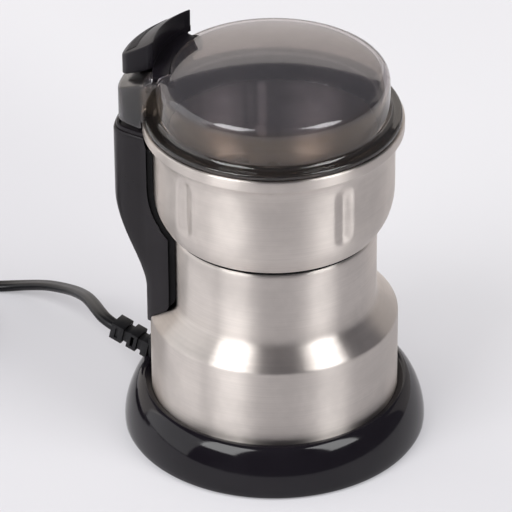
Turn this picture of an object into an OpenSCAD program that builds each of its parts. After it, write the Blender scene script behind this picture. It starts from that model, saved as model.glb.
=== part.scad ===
// Electric spice grinder with a lift-off lid, a press lever and a side switch housing.
// Millimetres, +Z up. The origin is on the body axis at the plane that the feet rest on.
// The switch housing, the lid's lug, the lever and the cord all lie on the -X side.

/* [Base] */
// Largest radius of the black base
base_r = 55; // [53:0.5:58]
// Height of the base's rolled top edge
base_h = 18.6; // [17:0.2:20]
// How far the rubber feet stand below the base
foot_drop = 0.8; // [0.5:0.1:1]

/* [Steel body] */
// Outer radius of the lower body
body_r = 44.9; // [44.5:0.1:45.5]
// Outer radius of the neck under the bowl
neck_r = 37; // [36.5:0.1:37.5]
// Height of the crease where the flare starts
crease_z = 47.2; // [45:0.1:49]
// Height where the flare has become the straight neck
neck_z = 59; // [57:0.5:61]
// Height of the neck's top edge
neck_top = 84; // [83:0.1:84]
// Thickness of the sheet steel
sheet = 0.8; // [0.6:0.1:1]

/* [Bowl] */
// Outer radius of the bowl's straight wall
bowl_r = 43.2; // [43:0.1:43.5]
// Outer radius of the rolled rim
rim_r = 46.4; // [46:0.1:46.8]
// Height of the bowl's underside
bowl_z = 85.2; // [85.1:0.1:85.6]
// Height of the rim's top
bowl_top = 127.2; // [127:0.1:127.4]
// Radius of each pressed flute
flute_r = 3.2; // [2.6:0.1:3.4]

/* [Lid] */
// Outer radius of the clear lid's wall
lid_r = 41.2; // [41:0.1:41.3]
// Outer radius of the lid's flange
flange_r = 45.6; // [44:0.1:45.8]
// Height of the dome's shoulder
shoulder_z = 145; // [144.6:0.1:145.4]
// How far the dome rises above its shoulder
dome_rise = 5.5; // [3:0.5:8]
// Wall thickness of the clear plastic
lid_wall = 2; // [1.6:0.1:2.2]

/* [Lever] */
// How far the lever and the push rod travel
press_travel = 1.6; // [1:0.1:1.7]
// Half of the lever's width
lever_w = 15.6; // [14:0.2:17]
// Outer radius of the lever's back
lever_r = 53.4; // [52:0.2:54]

/* [Switch housing] */
// Outer radius of the housing beside the bowl
grip_top_r = 56.4; // [55:0.2:58]
// Outer radius of the housing beside the neck
grip_low_r = 46; // [45.6:0.1:46.4]
// Height of the housing's top rim
grip_top = 122.5; // [122:0.1:123]
// Height of the housing's lowest point
grip_low = 43.4; // [42:0.2:45]
// Wall thickness of the moulded plastic
plastic = 2.2; // [1.8:0.1:2.4]

/* [Motor] */
// Radius of the motor shaft
shaft_r = 4; // [3.5:0.1:4]
// Radius of the armature's laminations
armature_r = 15.5; // [14:0.5:16]
// Number of fan blades
fan_blades = 11; // [7:1:13]
// Number of commutator bars
commutator_bars = 12; // [8:1:16]
// Distance from blade tip to blade tip
blade_span = 58; // [50:1:64]

/* [Cord] */
// Width of the flat two-core cord
cord_w = 5.4; // [5:0.1:6]
// Thickness of the flat cord
cord_t = 3.3; // [3:0.1:3.5]
// Radius of the coil at the middle of its turns
coil_r = 29; // [27:0.5:32]
// Height of the coiled turns
coil_h = 10; // [7:0.5:14]

/* [Hidden] */
$fn = 96;
eps = 0.01;

// Clearances
fit_gap = 0.05;
slide_gap = 0.3;

// Where the parts of the press mechanism stand, outwards from the body axis
rod_u = 49.5;
lug_floor = 125;
pin_low = grip_top - 0.1;
rod_high = pin_low - 0.4;

// Angles of the four flutes from +X, two on each side of the housing's plane
flute_az = [120, 35.5, -35.5, -120];

// Heights inside the body
deck_z = 14.6;
stator_low = 27;
stator_high = 47;
brush_z = 58;
bracket_z = 65;
fan_z = 72;
support_low = 79.6;
blade_z = 94;

// The lever's slanted faces: heights at lever_u0 from the axis and how they fall outwards
lever_u0 = 38.4;
lever_fall = 0.46;
lever_top = 156;
lever_bottom = 147.3;
lug_top = 145.2;
recess_floor = 140.8;
ledge_low = recess_floor + press_travel + slide_gap;
ledge_high = 146.2;
ledge_in = 36.2;
ledge_out = 42.3;

// Points of a quadratic curve from a to c that leaves a towards b
function bend(a, b, c, n) = [for (i = [0:n]) let (t = i / n)
    (1 - t) * (1 - t) * a + 2 * t * (1 - t) * b + t * t * c];
function backwards(list) = [for (i = [len(list) - 1:-1:0]) list[i]];
function smooth(t) = t <= 0 ? 0 : t >= 1 ? 1 : t * t * (3 - 2 * t);

// Sheet-steel contour of the body, pushed inwards by d
function body_line(d) = concat(
    [[body_r - d, 15.2]],
    bend([body_r - d, crease_z - 0.4 * d], [neck_r - d, 54.2 - 0.4 * d], [neck_r - d, neck_z], 10),
    bend([neck_r - d, neck_top - 3.6], [neck_r - d, neck_top - d], [neck_r - 3.4, neck_top - d], 6),
    [[neck_r - 5, neck_top - d]]);

// Sheet-steel contour of the bowl from the centre outwards, pushed inwards by d
function bowl_line(d) = concat(
    [[8.6, bowl_z + d], [36.4, bowl_z + d]],
    bend([37.4, bowl_z + d], [38.8 - d, bowl_z + d], [39 - d, bowl_z + 1.4 + 0.6 * d], 4),
    bend([39.4 - d, 87.6], [bowl_r - d, 93.4], [bowl_r - d, 102], 10),
    bend([bowl_r - d, 117.6], [bowl_r - d + 0.2, 121.4], [rim_r - 0.8 - d, 122.6], 6));

// Outer line of the base, a flared skirt with a rolled top
function base_line(d) = [for (i = [0:10]) let (a = 90 * i / 10)
    [47.6 + (base_r - 47.6 - d) * pow(cos(a), 1.25), 3 + (base_h - 3 - d) * pow(sin(a), 1.25)]];

// Outer radius of the switch housing at height z
function grip_r(z) = grip_low_r + (grip_top_r - grip_low_r) * smooth((z - 58) / 36);

module tube(ro, ri, h) {
    difference() {
        cylinder(r = ro, h = h);
        translate([0, 0, -1]) cylinder(r = ri, h = h + 2);
    }
}

module ring(n, r) {
    for (i = [0:n - 1]) rotate(360 * i / n) translate([r, 0, 0]) children();
}

module revolve(points) {
    rotate_extrude() polygon(points);
}

// A prism over a side view given as [distance outwards, height] points, on the -X side
module side_prism(points, half) {
    rotate([90, 0, 0]) linear_extrude(height = 2 * half, center = true)
        polygon([for (p = points) [-p[0], p[1]]]);
}

// A prism over a plan outline given as [distance outwards, half width] points
module plan_prism(points, z0, z1) {
    translate([0, 0, z0]) linear_extrude(height = z1 - z0)
        polygon(concat([for (p = points) [-p[0], -p[1]]],
            backwards([for (p = points) [-p[0], p[1]]])));
}

// A wedge of plan angle 2 * half, on the -X side
module wedge(half, z0, z1) {
    translate([0, 0, z0]) linear_extrude(height = z1 - z0)
        polygon([[0, 0], [-90, -90 * tan(half)], [-90, 90 * tan(half)]]);
}

module coil_spring(r, wire, z0, z1, turns) {
    steps = 16 * turns;
    sides = 6;
    rings = [for (i = [0:steps]) let (a = 360 * turns * i / steps,
            z = z0 + wire + (z1 - z0 - 2 * wire) * i / steps)
        [for (k = [0:sides - 1]) let (b = 360 * k / sides, q = r + wire * cos(b))
            [q * cos(a), q * sin(a), z + wire * sin(b)]]];
    polyhedron(points = [for (p = rings) for (q = p) q],
        faces = concat(
            [[for (k = [0:sides - 1]) k]],
            [for (i = [0:steps - 1]) for (k = [0:sides - 1]) let (n = (k + 1) % sides)
                each [[i * sides + k, (i + 1) * sides + k, (i + 1) * sides + n],
                    [i * sides + k, (i + 1) * sides + n, i * sides + n]]],
            [[for (k = [sides - 1:-1:0]) steps * sides + k]]));
}

module pan_screw(length, shank, head) {
    cylinder(r = shank, h = length);
    difference() {
        translate([0, 0, length]) cylinder(r = head, h = 1.6);
        for (a = [0, 90]) rotate(a) translate([-1.8, -0.35, length + 0.8]) cube([3.6, 0.7, 2]);
    }
}

// ---- Base ----

cover_screw_r = 46;
cover_screw_n = 4;
foot_at = 45.5;

module base() {
    color([0.05, 0.05, 0.055])
    difference() {
        union() {
            revolve(concat(
                [[53.4, foot_drop + 2.4], [53.4, foot_drop], [base_r - 0.5, foot_drop],
                    [base_r, foot_drop + 0.8]],
                base_line(0),
                [[46.2, base_h - 0.5], [body_r + 0.15, base_h - 1.4], [body_r + 0.15, 15.2],
                    [body_r - sheet - 0.1, 15.2], [body_r - sheet - 0.1, 20], [42, 20], [42, deck_z],
                    [13, deck_z], [13, 12.2], [49.4, 12.2], [52.4, 7], [52.4, foot_drop + 2.4]]));
            ring(cover_screw_n, cover_screw_r)
                translate([0, 0, foot_drop + 2.4]) cylinder(r = 3.6, h = 10.6, $fn = 32);
        }
        ring(cover_screw_n, cover_screw_r) translate([0, 0, -1]) cylinder(r = 1.3, h = 12, $fn = 32);
        ring(12, 27) translate([0, 0, 10]) hull() {
            translate([-5, 0, 0]) cylinder(r = 1.5, h = 6, $fn = 24);
            translate([5, 0, 0]) cylinder(r = 1.5, h = 6, $fn = 24);
        }
        translate([-50, -5.3, 13.3]) cube([50 - body_r - 0.1, 10.6, 8]);
        translate([-50, -3.3, 16.6]) cube([10, 6.6, 7.8]);
        for (y = [-17, 17]) translate([0, y, 10]) cylinder(r = 1.6, h = 8, $fn = 32);
    }
}

module base_cover() {
    color([0.09, 0.09, 0.1])
    difference() {
        translate([0, 0, foot_drop]) cylinder(r = 53.2, h = 2.3);
        ring(cover_screw_n, cover_screw_r) {
            translate([0, 0, -1]) cylinder(r = 1.7, h = 8, $fn = 32);
            translate([0, 0, -1]) cylinder(r = 3.4, h = 2.4, $fn = 32);
        }
        rotate(45) ring(4, foot_at) translate([0, 0, -1]) cylinder(r = 4.1, h = 2.8, $fn = 32);
        for (k = [0:4]) ring(10, 12 + 5 * k)
            translate([-1.5, -2.2 - k * 0.55, 0]) cube([3, 4.4 + k * 1.1, 8]);
    }
}

module rubber_feet() {
    color([0.12, 0.12, 0.12])
    rotate(45) ring(4, foot_at) {
        cylinder(r1 = 3.5, r2 = 4, h = 0.7, $fn = 32);
        translate([0, 0, 0.7]) cylinder(r = 4, h = 1.05, $fn = 32);
    }
}

module cover_screws() {
    color([0.7, 0.7, 0.72])
    ring(cover_screw_n, cover_screw_r)
        translate([0, 0, 9.5]) mirror([0, 0, 1]) pan_screw(8.1, 1.25, 2.8, $fn = 32);
}

// ---- Steel body ----

module housing_shell() {
    color([0.72, 0.71, 0.7])
    difference() {
        revolve(concat(body_line(0), backwards(body_line(sheet))));
        translate([-50, -3.3, 16.6]) cube([10, 6.6, 7.8]);
        for (z = [62, 76]) translate([0, 0, z]) rotate([0, -90, 0]) cylinder(r = 1.7, h = 50, $fn = 32);
    }
}

// ---- Motor frame ----

// One bracket arm pattern: a bridge across the motor with a hub for the bearing
module bracket(z, hub_h, half_w, reach) {
    translate([0, 0, z]) {
        cylinder(r = 10, h = hub_h);
        translate([-half_w, -reach, 0]) cube([2 * half_w, 2 * reach, 3]);
    }
}

module lower_bracket() {
    color([0.62, 0.63, 0.65])
    difference() {
        union() {
            bracket(deck_z, 7.4, 7, 30);
            for (s = [-1, 1]) translate([0, s * 26.5, deck_z]) {
                cylinder(r = 3.6, h = stator_low - deck_z, $fn = 48);
                translate([-7, -3.5, 0]) cube([14, 7, 3]);
            }
        }
        translate([0, 0, deck_z - 1]) cylinder(r = shaft_r + 1, h = 20);
        translate([0, 0, deck_z + 1.4]) cylinder(r = 7.5, h = 20);
        for (s = [-1, 1]) {
            translate([0, s * 26.5, deck_z - 1]) cylinder(r = 1.5, h = 20, $fn = 32);
            translate([0, s * 17, deck_z - 1]) cylinder(r = 1.6, h = 8, $fn = 32);
        }
    }
}

module deck_screws() {
    color([0.7, 0.7, 0.72])
    for (s = [-1, 1]) translate([0, s * 17, 12]) pan_screw(5.6, 1.6, 3, $fn = 32);
}

module lower_bearing() {
    color([0.72, 0.55, 0.3])
    translate([0, 0, deck_z + 1.4]) tube(7.45, shaft_r + 0.04, 6.4);
}

module stator_core() {
    color([0.45, 0.46, 0.48])
    translate([0, 0, stator_low])
    difference() {
        intersection() {
            cylinder(r = 36, h = stator_high - stator_low);
            translate([-26, -32, 0]) cube([52, 64, stator_high - stator_low]);
        }
        translate([0, 0, -1]) cylinder(r = armature_r + 0.6, h = 40);
        for (s = [-1, 1]) {
            translate([s * 19 - 4, -17, -1]) cube([8, 34, 40]);
            translate([s * 12 - 4, 8, -1]) cube([8, 9, 40]);
            translate([s * 12 - 4, -17, -1]) cube([8, 9, 40]);
            translate([0, s * 26.5, -1]) cylinder(r = 1.9, h = 40, $fn = 32);
        }
        for (z = [2.5:2.5:18]) translate([0, 0, z]) difference() {
            translate([-40, -40, 0]) cube([80, 80, 0.3]);
            translate([-25.7, -31.7, -1]) cube([51.4, 63.4, 3]);
        }
    }
}

module field_coils() {
    color([0.62, 0.3, 0.12])
    for (s = [-1, 1]) for (e = [-1, 1]) {
        z0 = e > 0 ? stator_high + 0.2 : stator_low - 5.2;
        translate([0, 0, z0]) difference() {
            intersection() {
                translate([-23, s > 0 ? 8.6 : -20.6, 0]) cube([46, 12, 5]);
                cylinder(r = 30, h = 5);
            }
            translate([0, 0, -1]) cylinder(r = armature_r + 1.5, h = 8);
        }
        translate([e * 19.4 - 3.2, s > 0 ? 8.6 : -16.6, stator_low - 0.2 - eps])
            cube([6.4, 8, stator_high - stator_low + 0.4 + 2 * eps]);
    }
}

module stator_screws() {
    color([0.7, 0.7, 0.72])
    for (s = [-1, 1]) translate([0, s * 26.5, deck_z + 0.4])
        pan_screw(bracket_z + 3 - deck_z - 0.4, 1.45, 3, $fn = 32);
}

module upper_bracket() {
    color([0.62, 0.63, 0.65])
    difference() {
        union() {
            bracket(bracket_z, 3, 7, 30);
            translate([-28, -6, bracket_z]) cube([56, 12, 3]);
            translate([0, 0, bracket_z - 1.6]) cylinder(r = 10, h = 6.6);
            for (s = [-1, 1]) translate([0, s * 26.5, stator_high])
                cylinder(r = 3.6, h = bracket_z - stator_high, $fn = 48);
            for (a = [45, 135, 225, 315]) rotate(a) translate([9, -3.5, bracket_z]) cube([21, 7, 3]);
            for (a = [45, 135, 225, 315]) rotate(a) translate([29.5, 0, bracket_z])
                cylinder(r = 3.5, h = support_low - bracket_z, $fn = 48);
        }
        translate([0, 0, bracket_z - 3]) cylinder(r = shaft_r + 1, h = 20);
        translate([0, 0, bracket_z - 1]) cylinder(r = 7.5, h = 20);
        for (s = [-1, 1]) translate([0, s * 26.5, stator_high - 1]) cylinder(r = 1.5, h = 40, $fn = 32);
        for (a = [45, 135, 225, 315]) rotate(a) translate([29.5, 0, support_low - 8])
            cylinder(r = 1.2, h = 10, $fn = 32);
    }
}

module upper_bearing() {
    color([0.72, 0.55, 0.3])
    translate([0, 0, bracket_z - 1]) tube(7.45, shaft_r + 0.04, 6);
}

// ---- Brush gear, on +X and -X ----

commutator_r = 8.5;

module brush_holders() {
    color([0.75, 0.6, 0.3])
    for (s = [0, 180]) rotate(s) translate([0, 0, brush_z]) {
        difference() {
            translate([10.4, -4.2, -4.2]) cube([19, 8.4, 8.4]);
            translate([9, -3.1, -3.1]) cube([19.2, 6.2, 6.2]);
        }
        difference() {
            translate([14, -4.2, 4.2]) cube([12, 8.4, bracket_z - brush_z - 4.2]);
            translate([16, -2.2, 3]) cube([8, 4.4, 20]);
        }
    }
}

module carbon_brushes() {
    color([0.15, 0.15, 0.16])
    for (s = [0, 180]) rotate(s) translate([0, 0, brush_z]) difference() {
        translate([commutator_r - 1, -3, -3]) cube([9, 6, 6]);
        translate([0, 0, -10]) cylinder(r = commutator_r + 0.3, h = 20);
    }
}

module brush_springs() {
    color([0.75, 0.75, 0.78])
    for (s = [0, 180]) rotate(s) translate([0, 0, brush_z]) rotate([0, 90, 0])
        coil_spring(1.9, 0.3, commutator_r + 8, 28.2, 7);
}

// ---- Support, bowl and seal ----

module bowl_support() {
    color([0.07, 0.07, 0.075])
    difference() {
        union() {
            translate([0, 0, support_low]) cylinder(r = 30.5, h = bowl_z - support_low);
            translate([0, 0, neck_top]) cylinder(r = 36.2, h = bowl_z - neck_top);
            for (a = [45:90:315]) rotate(a) translate([29.5, 0, support_low])
                cylinder(r = 4.2, h = neck_top - sheet - support_low - 0.1, $fn = 48);
        }
        translate([0, 0, support_low - 1]) cylinder(r = 8.6, h = 20);
        translate([0, 0, support_low - 1]) tube(26, 11, 3.6);
        for (a = [45:90:315]) rotate(a) translate([29.5, 0, support_low - 1])
            cylinder(r = 1.7, h = 20, $fn = 32);
        ring(8, 18.5) translate([-4, -1, support_low]) cube([8, 2, 4]);
    }
}

module bowl() {
    color([0.74, 0.73, 0.72])
    difference() {
        union() {
            revolve(concat(bowl_line(0),
                [[rim_r, 123.4], [rim_r, bowl_top - 0.7], [rim_r - 0.5, bowl_top],
                    [rim_r - 1.0, bowl_top], [rim_r - 1.1, 123.4]],
                backwards(bowl_line(sheet))));
            for (a = flute_az) rotate(a) intersection() {
                flute(flute_r + sheet);
                translate([0, 0, bowl_z + 4]) cylinder(r = bowl_r - 0.1, h = 40);
                translate([36, -8, 0]) cube([20, 16, 140]);
            }
        }
        for (a = flute_az) rotate(a) flute(flute_r);
        for (a = [45:90:315]) rotate(a) translate([29.5, 0, bowl_z - 1])
            cylinder(r = 1.7, h = 4, $fn = 32);
    }
}

// A vertical groove with round ends, pressed into the bowl's wall
module flute(r) {
    translate([bowl_r + 1.1, 0, 98.2]) {
        cylinder(r = r, h = 16.6, $fn = 32);
        sphere(r = r, $fn = 32);
        translate([0, 0, 16.6]) sphere(r = r, $fn = 32);
    }
}

module bowl_screws() {
    color([0.7, 0.7, 0.72])
    for (a = [45:90:315]) rotate(a) translate([29.5, 0, support_low - 6])
        pan_screw(bowl_z + sheet - support_low + 6, 1.15, 3, $fn = 32);
}

module shaft_seal() {
    color([0.1, 0.1, 0.1])
    difference() {
        union() {
            translate([0, 0, bowl_z - 4]) cylinder(r = 8.5, h = 4 + sheet);
            translate([0, 0, bowl_z + sheet]) cylinder(r1 = 11, r2 = 9.5, h = 1.4);
        }
        translate([0, 0, bowl_z - 5]) cylinder(r = shaft_r + 0.08, h = 10);
    }
}

// ---- Rotor ----

module motor_shaft() {
    color([0.75, 0.75, 0.77])
    difference() {
        union() {
            translate([0, 0, deck_z + 0.6]) cylinder(r = shaft_r, h = 77.4);
            translate([0, 0, deck_z + 78]) cylinder(r = 2.5, h = 9.4);
        }
        for (z = [deck_z + 0.6]) translate([0, 0, z - 1]) cylinder(r = 0.8, h = 2.4, $fn = 24);
    }
}

module armature_core() {
    color([0.42, 0.43, 0.45])
    translate([0, 0, stator_low + 0.5]) difference() {
        cylinder(r = armature_r, h = 19);
        translate([0, 0, -1]) cylinder(r = shaft_r, h = 40);
        ring(12, armature_r - 2.6) {
            translate([0, 0, -1]) cylinder(r = 1.9, h = 40, $fn = 24);
            translate([0, -0.6, -1]) cube([6, 1.2, 40]);
        }
    }
}

module armature_windings() {
    color([0.72, 0.36, 0.14])
    for (z = [stator_low - 4, stator_low + 19.6]) translate([0, 0, z]) difference() {
        union() {
            cylinder(r1 = z < 30 ? 9.5 : 13, r2 = z < 30 ? 13 : 9.5, h = 4.4);
            ring(12, 10.6) translate([0, 0, z < 30 ? 1.4 : 0]) cylinder(r = 2.2, h = 3, $fn = 24);
        }
        translate([0, 0, -1]) cylinder(r = shaft_r, h = 40);
    }
}

module commutator() {
    color([0.78, 0.45, 0.22])
    translate([0, 0, brush_z - 4.6]) difference() {
        union() {
            cylinder(r = commutator_r, h = 9.2);
            cylinder(r = commutator_r + 1, h = 1.2);
        }
        translate([0, 0, -1]) cylinder(r = shaft_r, h = 40);
        ring(commutator_bars, commutator_r - 0.6) translate([0, -0.2, -1]) cube([3, 0.4, 20]);
    }
}

module cooling_fan() {
    color([0.85, 0.85, 0.82])
    translate([0, 0, fan_z]) difference() {
        union() {
            cylinder(r = 8, h = 6);
            cylinder(r = 24, h = 1.4);
            ring(fan_blades, 7) rotate(12) translate([0, -0.6, 0]) cube([17.5, 1.2, 6]);
        }
        translate([0, 0, -1]) cylinder(r = shaft_r, h = 40);
    }
}

module blade_hub() {
    color([0.1, 0.1, 0.1])
    translate([0, 0, bowl_z + 2.8]) tube(6.5, shaft_r, deck_z + 78 - bowl_z - 2.8);
}

// Two-armed steel blade, one arm bent up and one bent down
blade_low = deck_z + 78;
blade_tip = blade_span / 2;
blade_half = [[blade_tip - 4, -4.5], [blade_tip, -1], [blade_tip - 1.5, 3.2], [7, 4.5]];

module blade() {
    color([0.8, 0.8, 0.82])
    difference() {
        intersection() {
            translate([0, 20, blade_low]) rotate([90, 0, 0]) linear_extrude(height = 40)
                polygon([[-32, -5], [-12, 0], [12, 0], [32, 5],
                    [32, 6.6], [12, 1.6], [-12, 1.6], [-32, -3.4]]);
            translate([0, 0, blade_low - 10]) linear_extrude(height = 20) union() {
                circle(r = 7);
                polygon(concat(blade_half, -blade_half));
            }
        }
        translate([0, 0, blade_low - 10]) cylinder(r = 2.5, h = 40);
    }
}

module blade_nut() {
    color([0.78, 0.78, 0.8])
    translate([0, 0, deck_z + 79.6]) difference() {
        union() {
            cylinder(r = 5.2, h = 4.4, $fn = 6);
            translate([0, 0, 4.4]) cylinder(r1 = 4.4, r2 = 2.6, h = 4.4);
        }
        translate([0, 0, -1]) cylinder(r = 2.5, h = 8.8);
    }
}

// ---- Lid, lever and spring ----

// Clear-plastic contour of the lid above its flange, pushed inwards by d
function dome_line(d) = let (edge = lid_r - 3.2, k = (edge * edge + dome_rise * dome_rise) / (2 * dome_rise))
    concat([[lid_r - d, 130.4]],
        bend([lid_r - d, shoulder_z - 4], [lid_r - d, shoulder_z - 0.6 - d], [edge, shoulder_z - d], 6),
        [for (i = [1:8]) let (r = edge * (1 - i / 8))
            [r, shoulder_z - d + dome_rise - k + sqrt(k * k - r * r)]]);

lug_plan = [[36, 20.6], [43.7, 19.7], [48.3, 18.1], [51.2, 16.5], [53, 15], [56, 10]];
lug_r = 55.3;

// The lug's slanted block, made smaller by d for its hollow
module lug_block(d, z0) {
    intersection() {
        plan_prism([for (p = lug_plan) [p[0], p[1] - d]], z0, 150);
        difference() {
            translate([0, 0, z0]) cylinder(r = lug_r - d, h = 40);
            translate([0, 0, z0 - 1]) cylinder(r = lid_r - 0.6 + d, h = 50);
        }
        side_prism([[30, z0], [60, z0], [60, lug_top - d - lever_fall * (60 - lever_u0)],
            [30, lug_top - d - lever_fall * (30 - lever_u0)]], 30);
    }
}

module lid() {
    color([0.36, 0.3, 0.24, 0.5])
    difference() {
        union() {
            // dome, wall, stepped flange and the skirt inside the bowl
            revolve(concat(
                [[40.2, 118.5], [41.9, 118.5], [41.9, 125.2], [44.6, 125.2], [44.6, bowl_top + 0.3],
                    [flange_r, bowl_top + 0.3], [flange_r, 128.6], [44.6, 129.4],
                    [43.2, 129.4], [42.6, 130.4]],
                dome_line(0), backwards(dome_line(lid_wall)),
                [[lid_r - lid_wall, 126]]));
            difference() {
                lug_block(0, lug_floor);
                lug_block(1.8, lug_floor - 1);
                translate([0, 0, 120]) cylinder(r = rim_r + 0.5, h = bowl_top + 0.3 - 120);
            }
            // floor and walls of the recess under the lever's ledge
            intersection() {
                revolve(concat([[0, 130.4]], dome_line(0)));
                wedge(27, recess_floor - lid_wall, 160);
                translate([0, 0, recess_floor - lid_wall]) tube(60, ledge_in - 0.4 - lid_wall, 20);
            }
            // guide for the lever's pin
            translate([-rod_u, 0, lug_floor + 2.6]) cylinder(r = 4.4, h = 2.4);
            translate([-rod_u - 5, -1.5, lug_floor + 2.6]) cube([13.4, 3, 2.4]);
        }
        // recess that the ledge sinks into
        intersection() {
            wedge(25, recess_floor, 160);
            translate([0, 0, recess_floor]) tube(60, ledge_in - 0.4, 20);
            translate([0, 0, recess_floor]) cylinder(r = ledge_out + 0.4, h = 20);
        }
        // holes for the pin, through the guide and the lug's top
        translate([-rod_u, 0, 120]) cylinder(r = 2.08, h = 12);
        translate([-rod_u, 0, 132]) cylinder(r = 2.4, h = 40);
    }
}

module press_lever() {
    color([0.07, 0.07, 0.075])
    union() {
        // slanted block behind the wall that faces the dome
        intersection() {
            side_prism([[34, lever_bottom - lever_fall * (34 - lever_u0)],
                [60, lever_bottom - lever_fall * (60 - lever_u0)],
                [60, lever_top - lever_fall * (60 - lever_u0)],
                [34, lever_top - lever_fall * (34 - lever_u0)]], 30);
            translate([0, 0, 130]) tube(lever_r, ledge_out, 30);
            plan_prism([[34, lever_w], [46, lever_w - 0.2], [50, lever_w - 1], [52.6, lever_w - 2.6],
                [56, lever_w - 6]], 130, 160);
        }
        // crescent ledge that lies on the lid's shoulder
        intersection() {
            translate([0, 0, ledge_low]) tube(ledge_out, ledge_in, ledge_high - ledge_low);
            wedge(24, 130, 160);
        }
        // web that joins the ledge to the block
        intersection() {
            revolve([[ledge_out - 2.4, ledge_high - 0.6], [ledge_out + 0.2, ledge_high - 0.6],
                [ledge_out + 0.2, ledge_high + 1.8], [ledge_out - 0.4, ledge_high + 1.6],
                [ledge_out - 2.4, ledge_high]]);
            wedge(20.5, 140, 150);
        }
        // grip ribs on the sloping top
        for (k = [0:3]) intersection() {
            translate([0, 0, 130]) tube(lever_r - 1.1 - 1.5 * k, lever_r - 1.8 - 1.5 * k, 40);
            side_prism([[34, lever_top - 3 - lever_fall * (34 - lever_u0)],
                [60, lever_top - 3 - lever_fall * (60 - lever_u0)],
                [60, lever_top + 0.4 - lever_fall * (60 - lever_u0)],
                [34, lever_top + 0.4 - lever_fall * (34 - lever_u0)]], lever_w - 2.5);
        }
        // pin that reaches down through the lug
        translate([-rod_u, 0, pin_low]) cylinder(r = 2, h = 146 - pin_low);
    }
}

clip_z = 135.4;

module lever_clip() {
    color([0.7, 0.7, 0.72])
    translate([-rod_u, 0, clip_z]) difference() {
        cylinder(r = 3.5, h = 0.8);
        translate([0, 0, -1]) cylinder(r = 2, h = 4);
    }
}

module lever_spring() {
    color([0.75, 0.75, 0.78])
    translate([-rod_u, 0, 0]) coil_spring(2.95, 0.35, lug_floor + 5.1, clip_z - 0.1, 4);
}

// ---- Switch housing and switch ----

grip_plan = [[28, 23], [34, 22.3], [38, 21.2], [42.2, 20], [47, 18.9],
    [50.4, 17.8], [53.4, 16], [56, 14], [60, 10]];

// Line that stands d outside the flare, the neck and the bowl's wall
function back_line(d) = concat(
    bend([39.3, 53.9], [neck_r + 0.1 + d, 55.8], [neck_r + 0.1 + d, neck_z], 4),
    [[neck_r + 0.1 + d, 83.4 - d / 2], [39.3 + d, 86.6 - d / 2]],
    bend([39.6 + d, 87.6 - d / 2], [bowl_r + 0.1 + d, 93.4 - d / 2], [bowl_r + 0.1 + d, 102], 6),
    [[bowl_r + 0.1 + d, 116.8]]);

liner_t = 2.2;

module housing_liner() {
    color([0.04, 0.04, 0.045])
    difference() {
        intersection() {
            revolve(concat(back_line(0), backwards([for (p = back_line(liner_t)) if (p[1] > 58) p]),
                [[neck_r + 0.1 + liner_t, 53.9]]));
            plan_prism([for (p = grip_plan) [p[0], p[1] - 0.5]], 40, 130);
        }
        for (z = [62, 76]) translate([0, 0, z]) rotate([0, -90, 0]) cylinder(r = 1.7, h = 50, $fn = 32);
    }
}

// Solid of revolution under the housing's outer face, made smaller by d
module grip_round(d, z0, z1) {
    revolve(concat([[20, z0], [grip_r(z0) - d, z0]],
        [for (z = [50:4:94]) if (z > z0 && z < z1) [grip_r(z) - d, z]],
        [[grip_top_r - d, z1 - 1.4], [grip_top_r - 1.2 - d, z1], [20, z1]]));
}

// Room that the steel body, the liner and the bowl take up
module grip_room() {
    revolve(concat(
        [[0, 30], [body_r + 0.08, 30]],
        [for (p = bend([body_r + 0.08, crease_z], [neck_r + 0.08, 54.3], [neck_r + 0.08, neck_z], 10))
            if (p[0] > neck_r + liner_t + 0.3) p],
        [[neck_r + liner_t + 0.15, 53.9]],
        [for (p = back_line(liner_t + 0.05)) if (p[1] > 58) p],
        [[bowl_r + liner_t + 0.15, 117.2], [46.2, 120.4], [46.2, 130], [0, 130]]));
}

module switch_housing() {
    color([0.08, 0.08, 0.085])
    difference() {
        union() {
            difference() {
                intersection() {
                    grip_round(0, grip_low, grip_top);
                    plan_prism(grip_plan, 30, 130);
                    // round lower corners
                    rotate([0, -90, 0]) linear_extrude(height = 80) union() {
                        translate([grip_low + 9, -24]) square([90, 48]);
                        translate([grip_low, -15]) square([20, 30]);
                        for (s = [-1, 1]) translate([grip_low + 9, s * 15]) circle(r = 9);
                    }
                }
                grip_room();
                // hollow for the switch, open towards the liner
                intersection() {
                    grip_round(plastic, 60, grip_top - 4.4);
                    plan_prism([for (p = grip_plan) [p[0], p[1] - plastic]], 56, 130);
                }
            }
            // bosses for the screws and pegs for the switch
            for (z = [62, 76]) translate([-39.4, 0, z]) rotate([0, -90, 0])
                cylinder(r = 3.4, h = grip_r(z) - 40.4, $fn = 48);
            for (s = [-6.8, 6.8]) translate([0, s, 90]) rotate([0, -90, 0]) {
                translate([0, 0, 46]) cylinder(r = 1.25, h = 8.5, $fn = 32);
                translate([0, 0, rod_u + 2.65]) cylinder(r = 1.9, h = 2.4, $fn = 32);
            }
        }
        for (z = [62, 76]) translate([-38, 0, z]) rotate([0, -90, 0]) cylinder(r = 1.3, h = 4.4, $fn = 32);
        // shallow tray in the top
        intersection() {
            translate([0, 0, grip_top - 1.6]) tube(grip_top_r - 2, 47.4, 10);
            plan_prism([for (p = grip_plan) [p[0], p[1] - 1.8]], grip_top - 1.6, 130);
        }
        translate([-rod_u, 0, 100]) cylinder(r = 3.7, h = 40);
    }
}

module rod_guide() {
    color([0.85, 0.85, 0.83])
    translate([-rod_u, 0, 0]) difference() {
        union() {
            translate([0, 0, 110]) cylinder(r = 3.6, h = grip_top - 2 - 110);
            translate([-3.2, -7, grip_top - 5.6]) cube([6.2, 14, 1.15]);
        }
        translate([0, 0, 100]) cylinder(r = 2.28, h = 40);
    }
}

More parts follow.
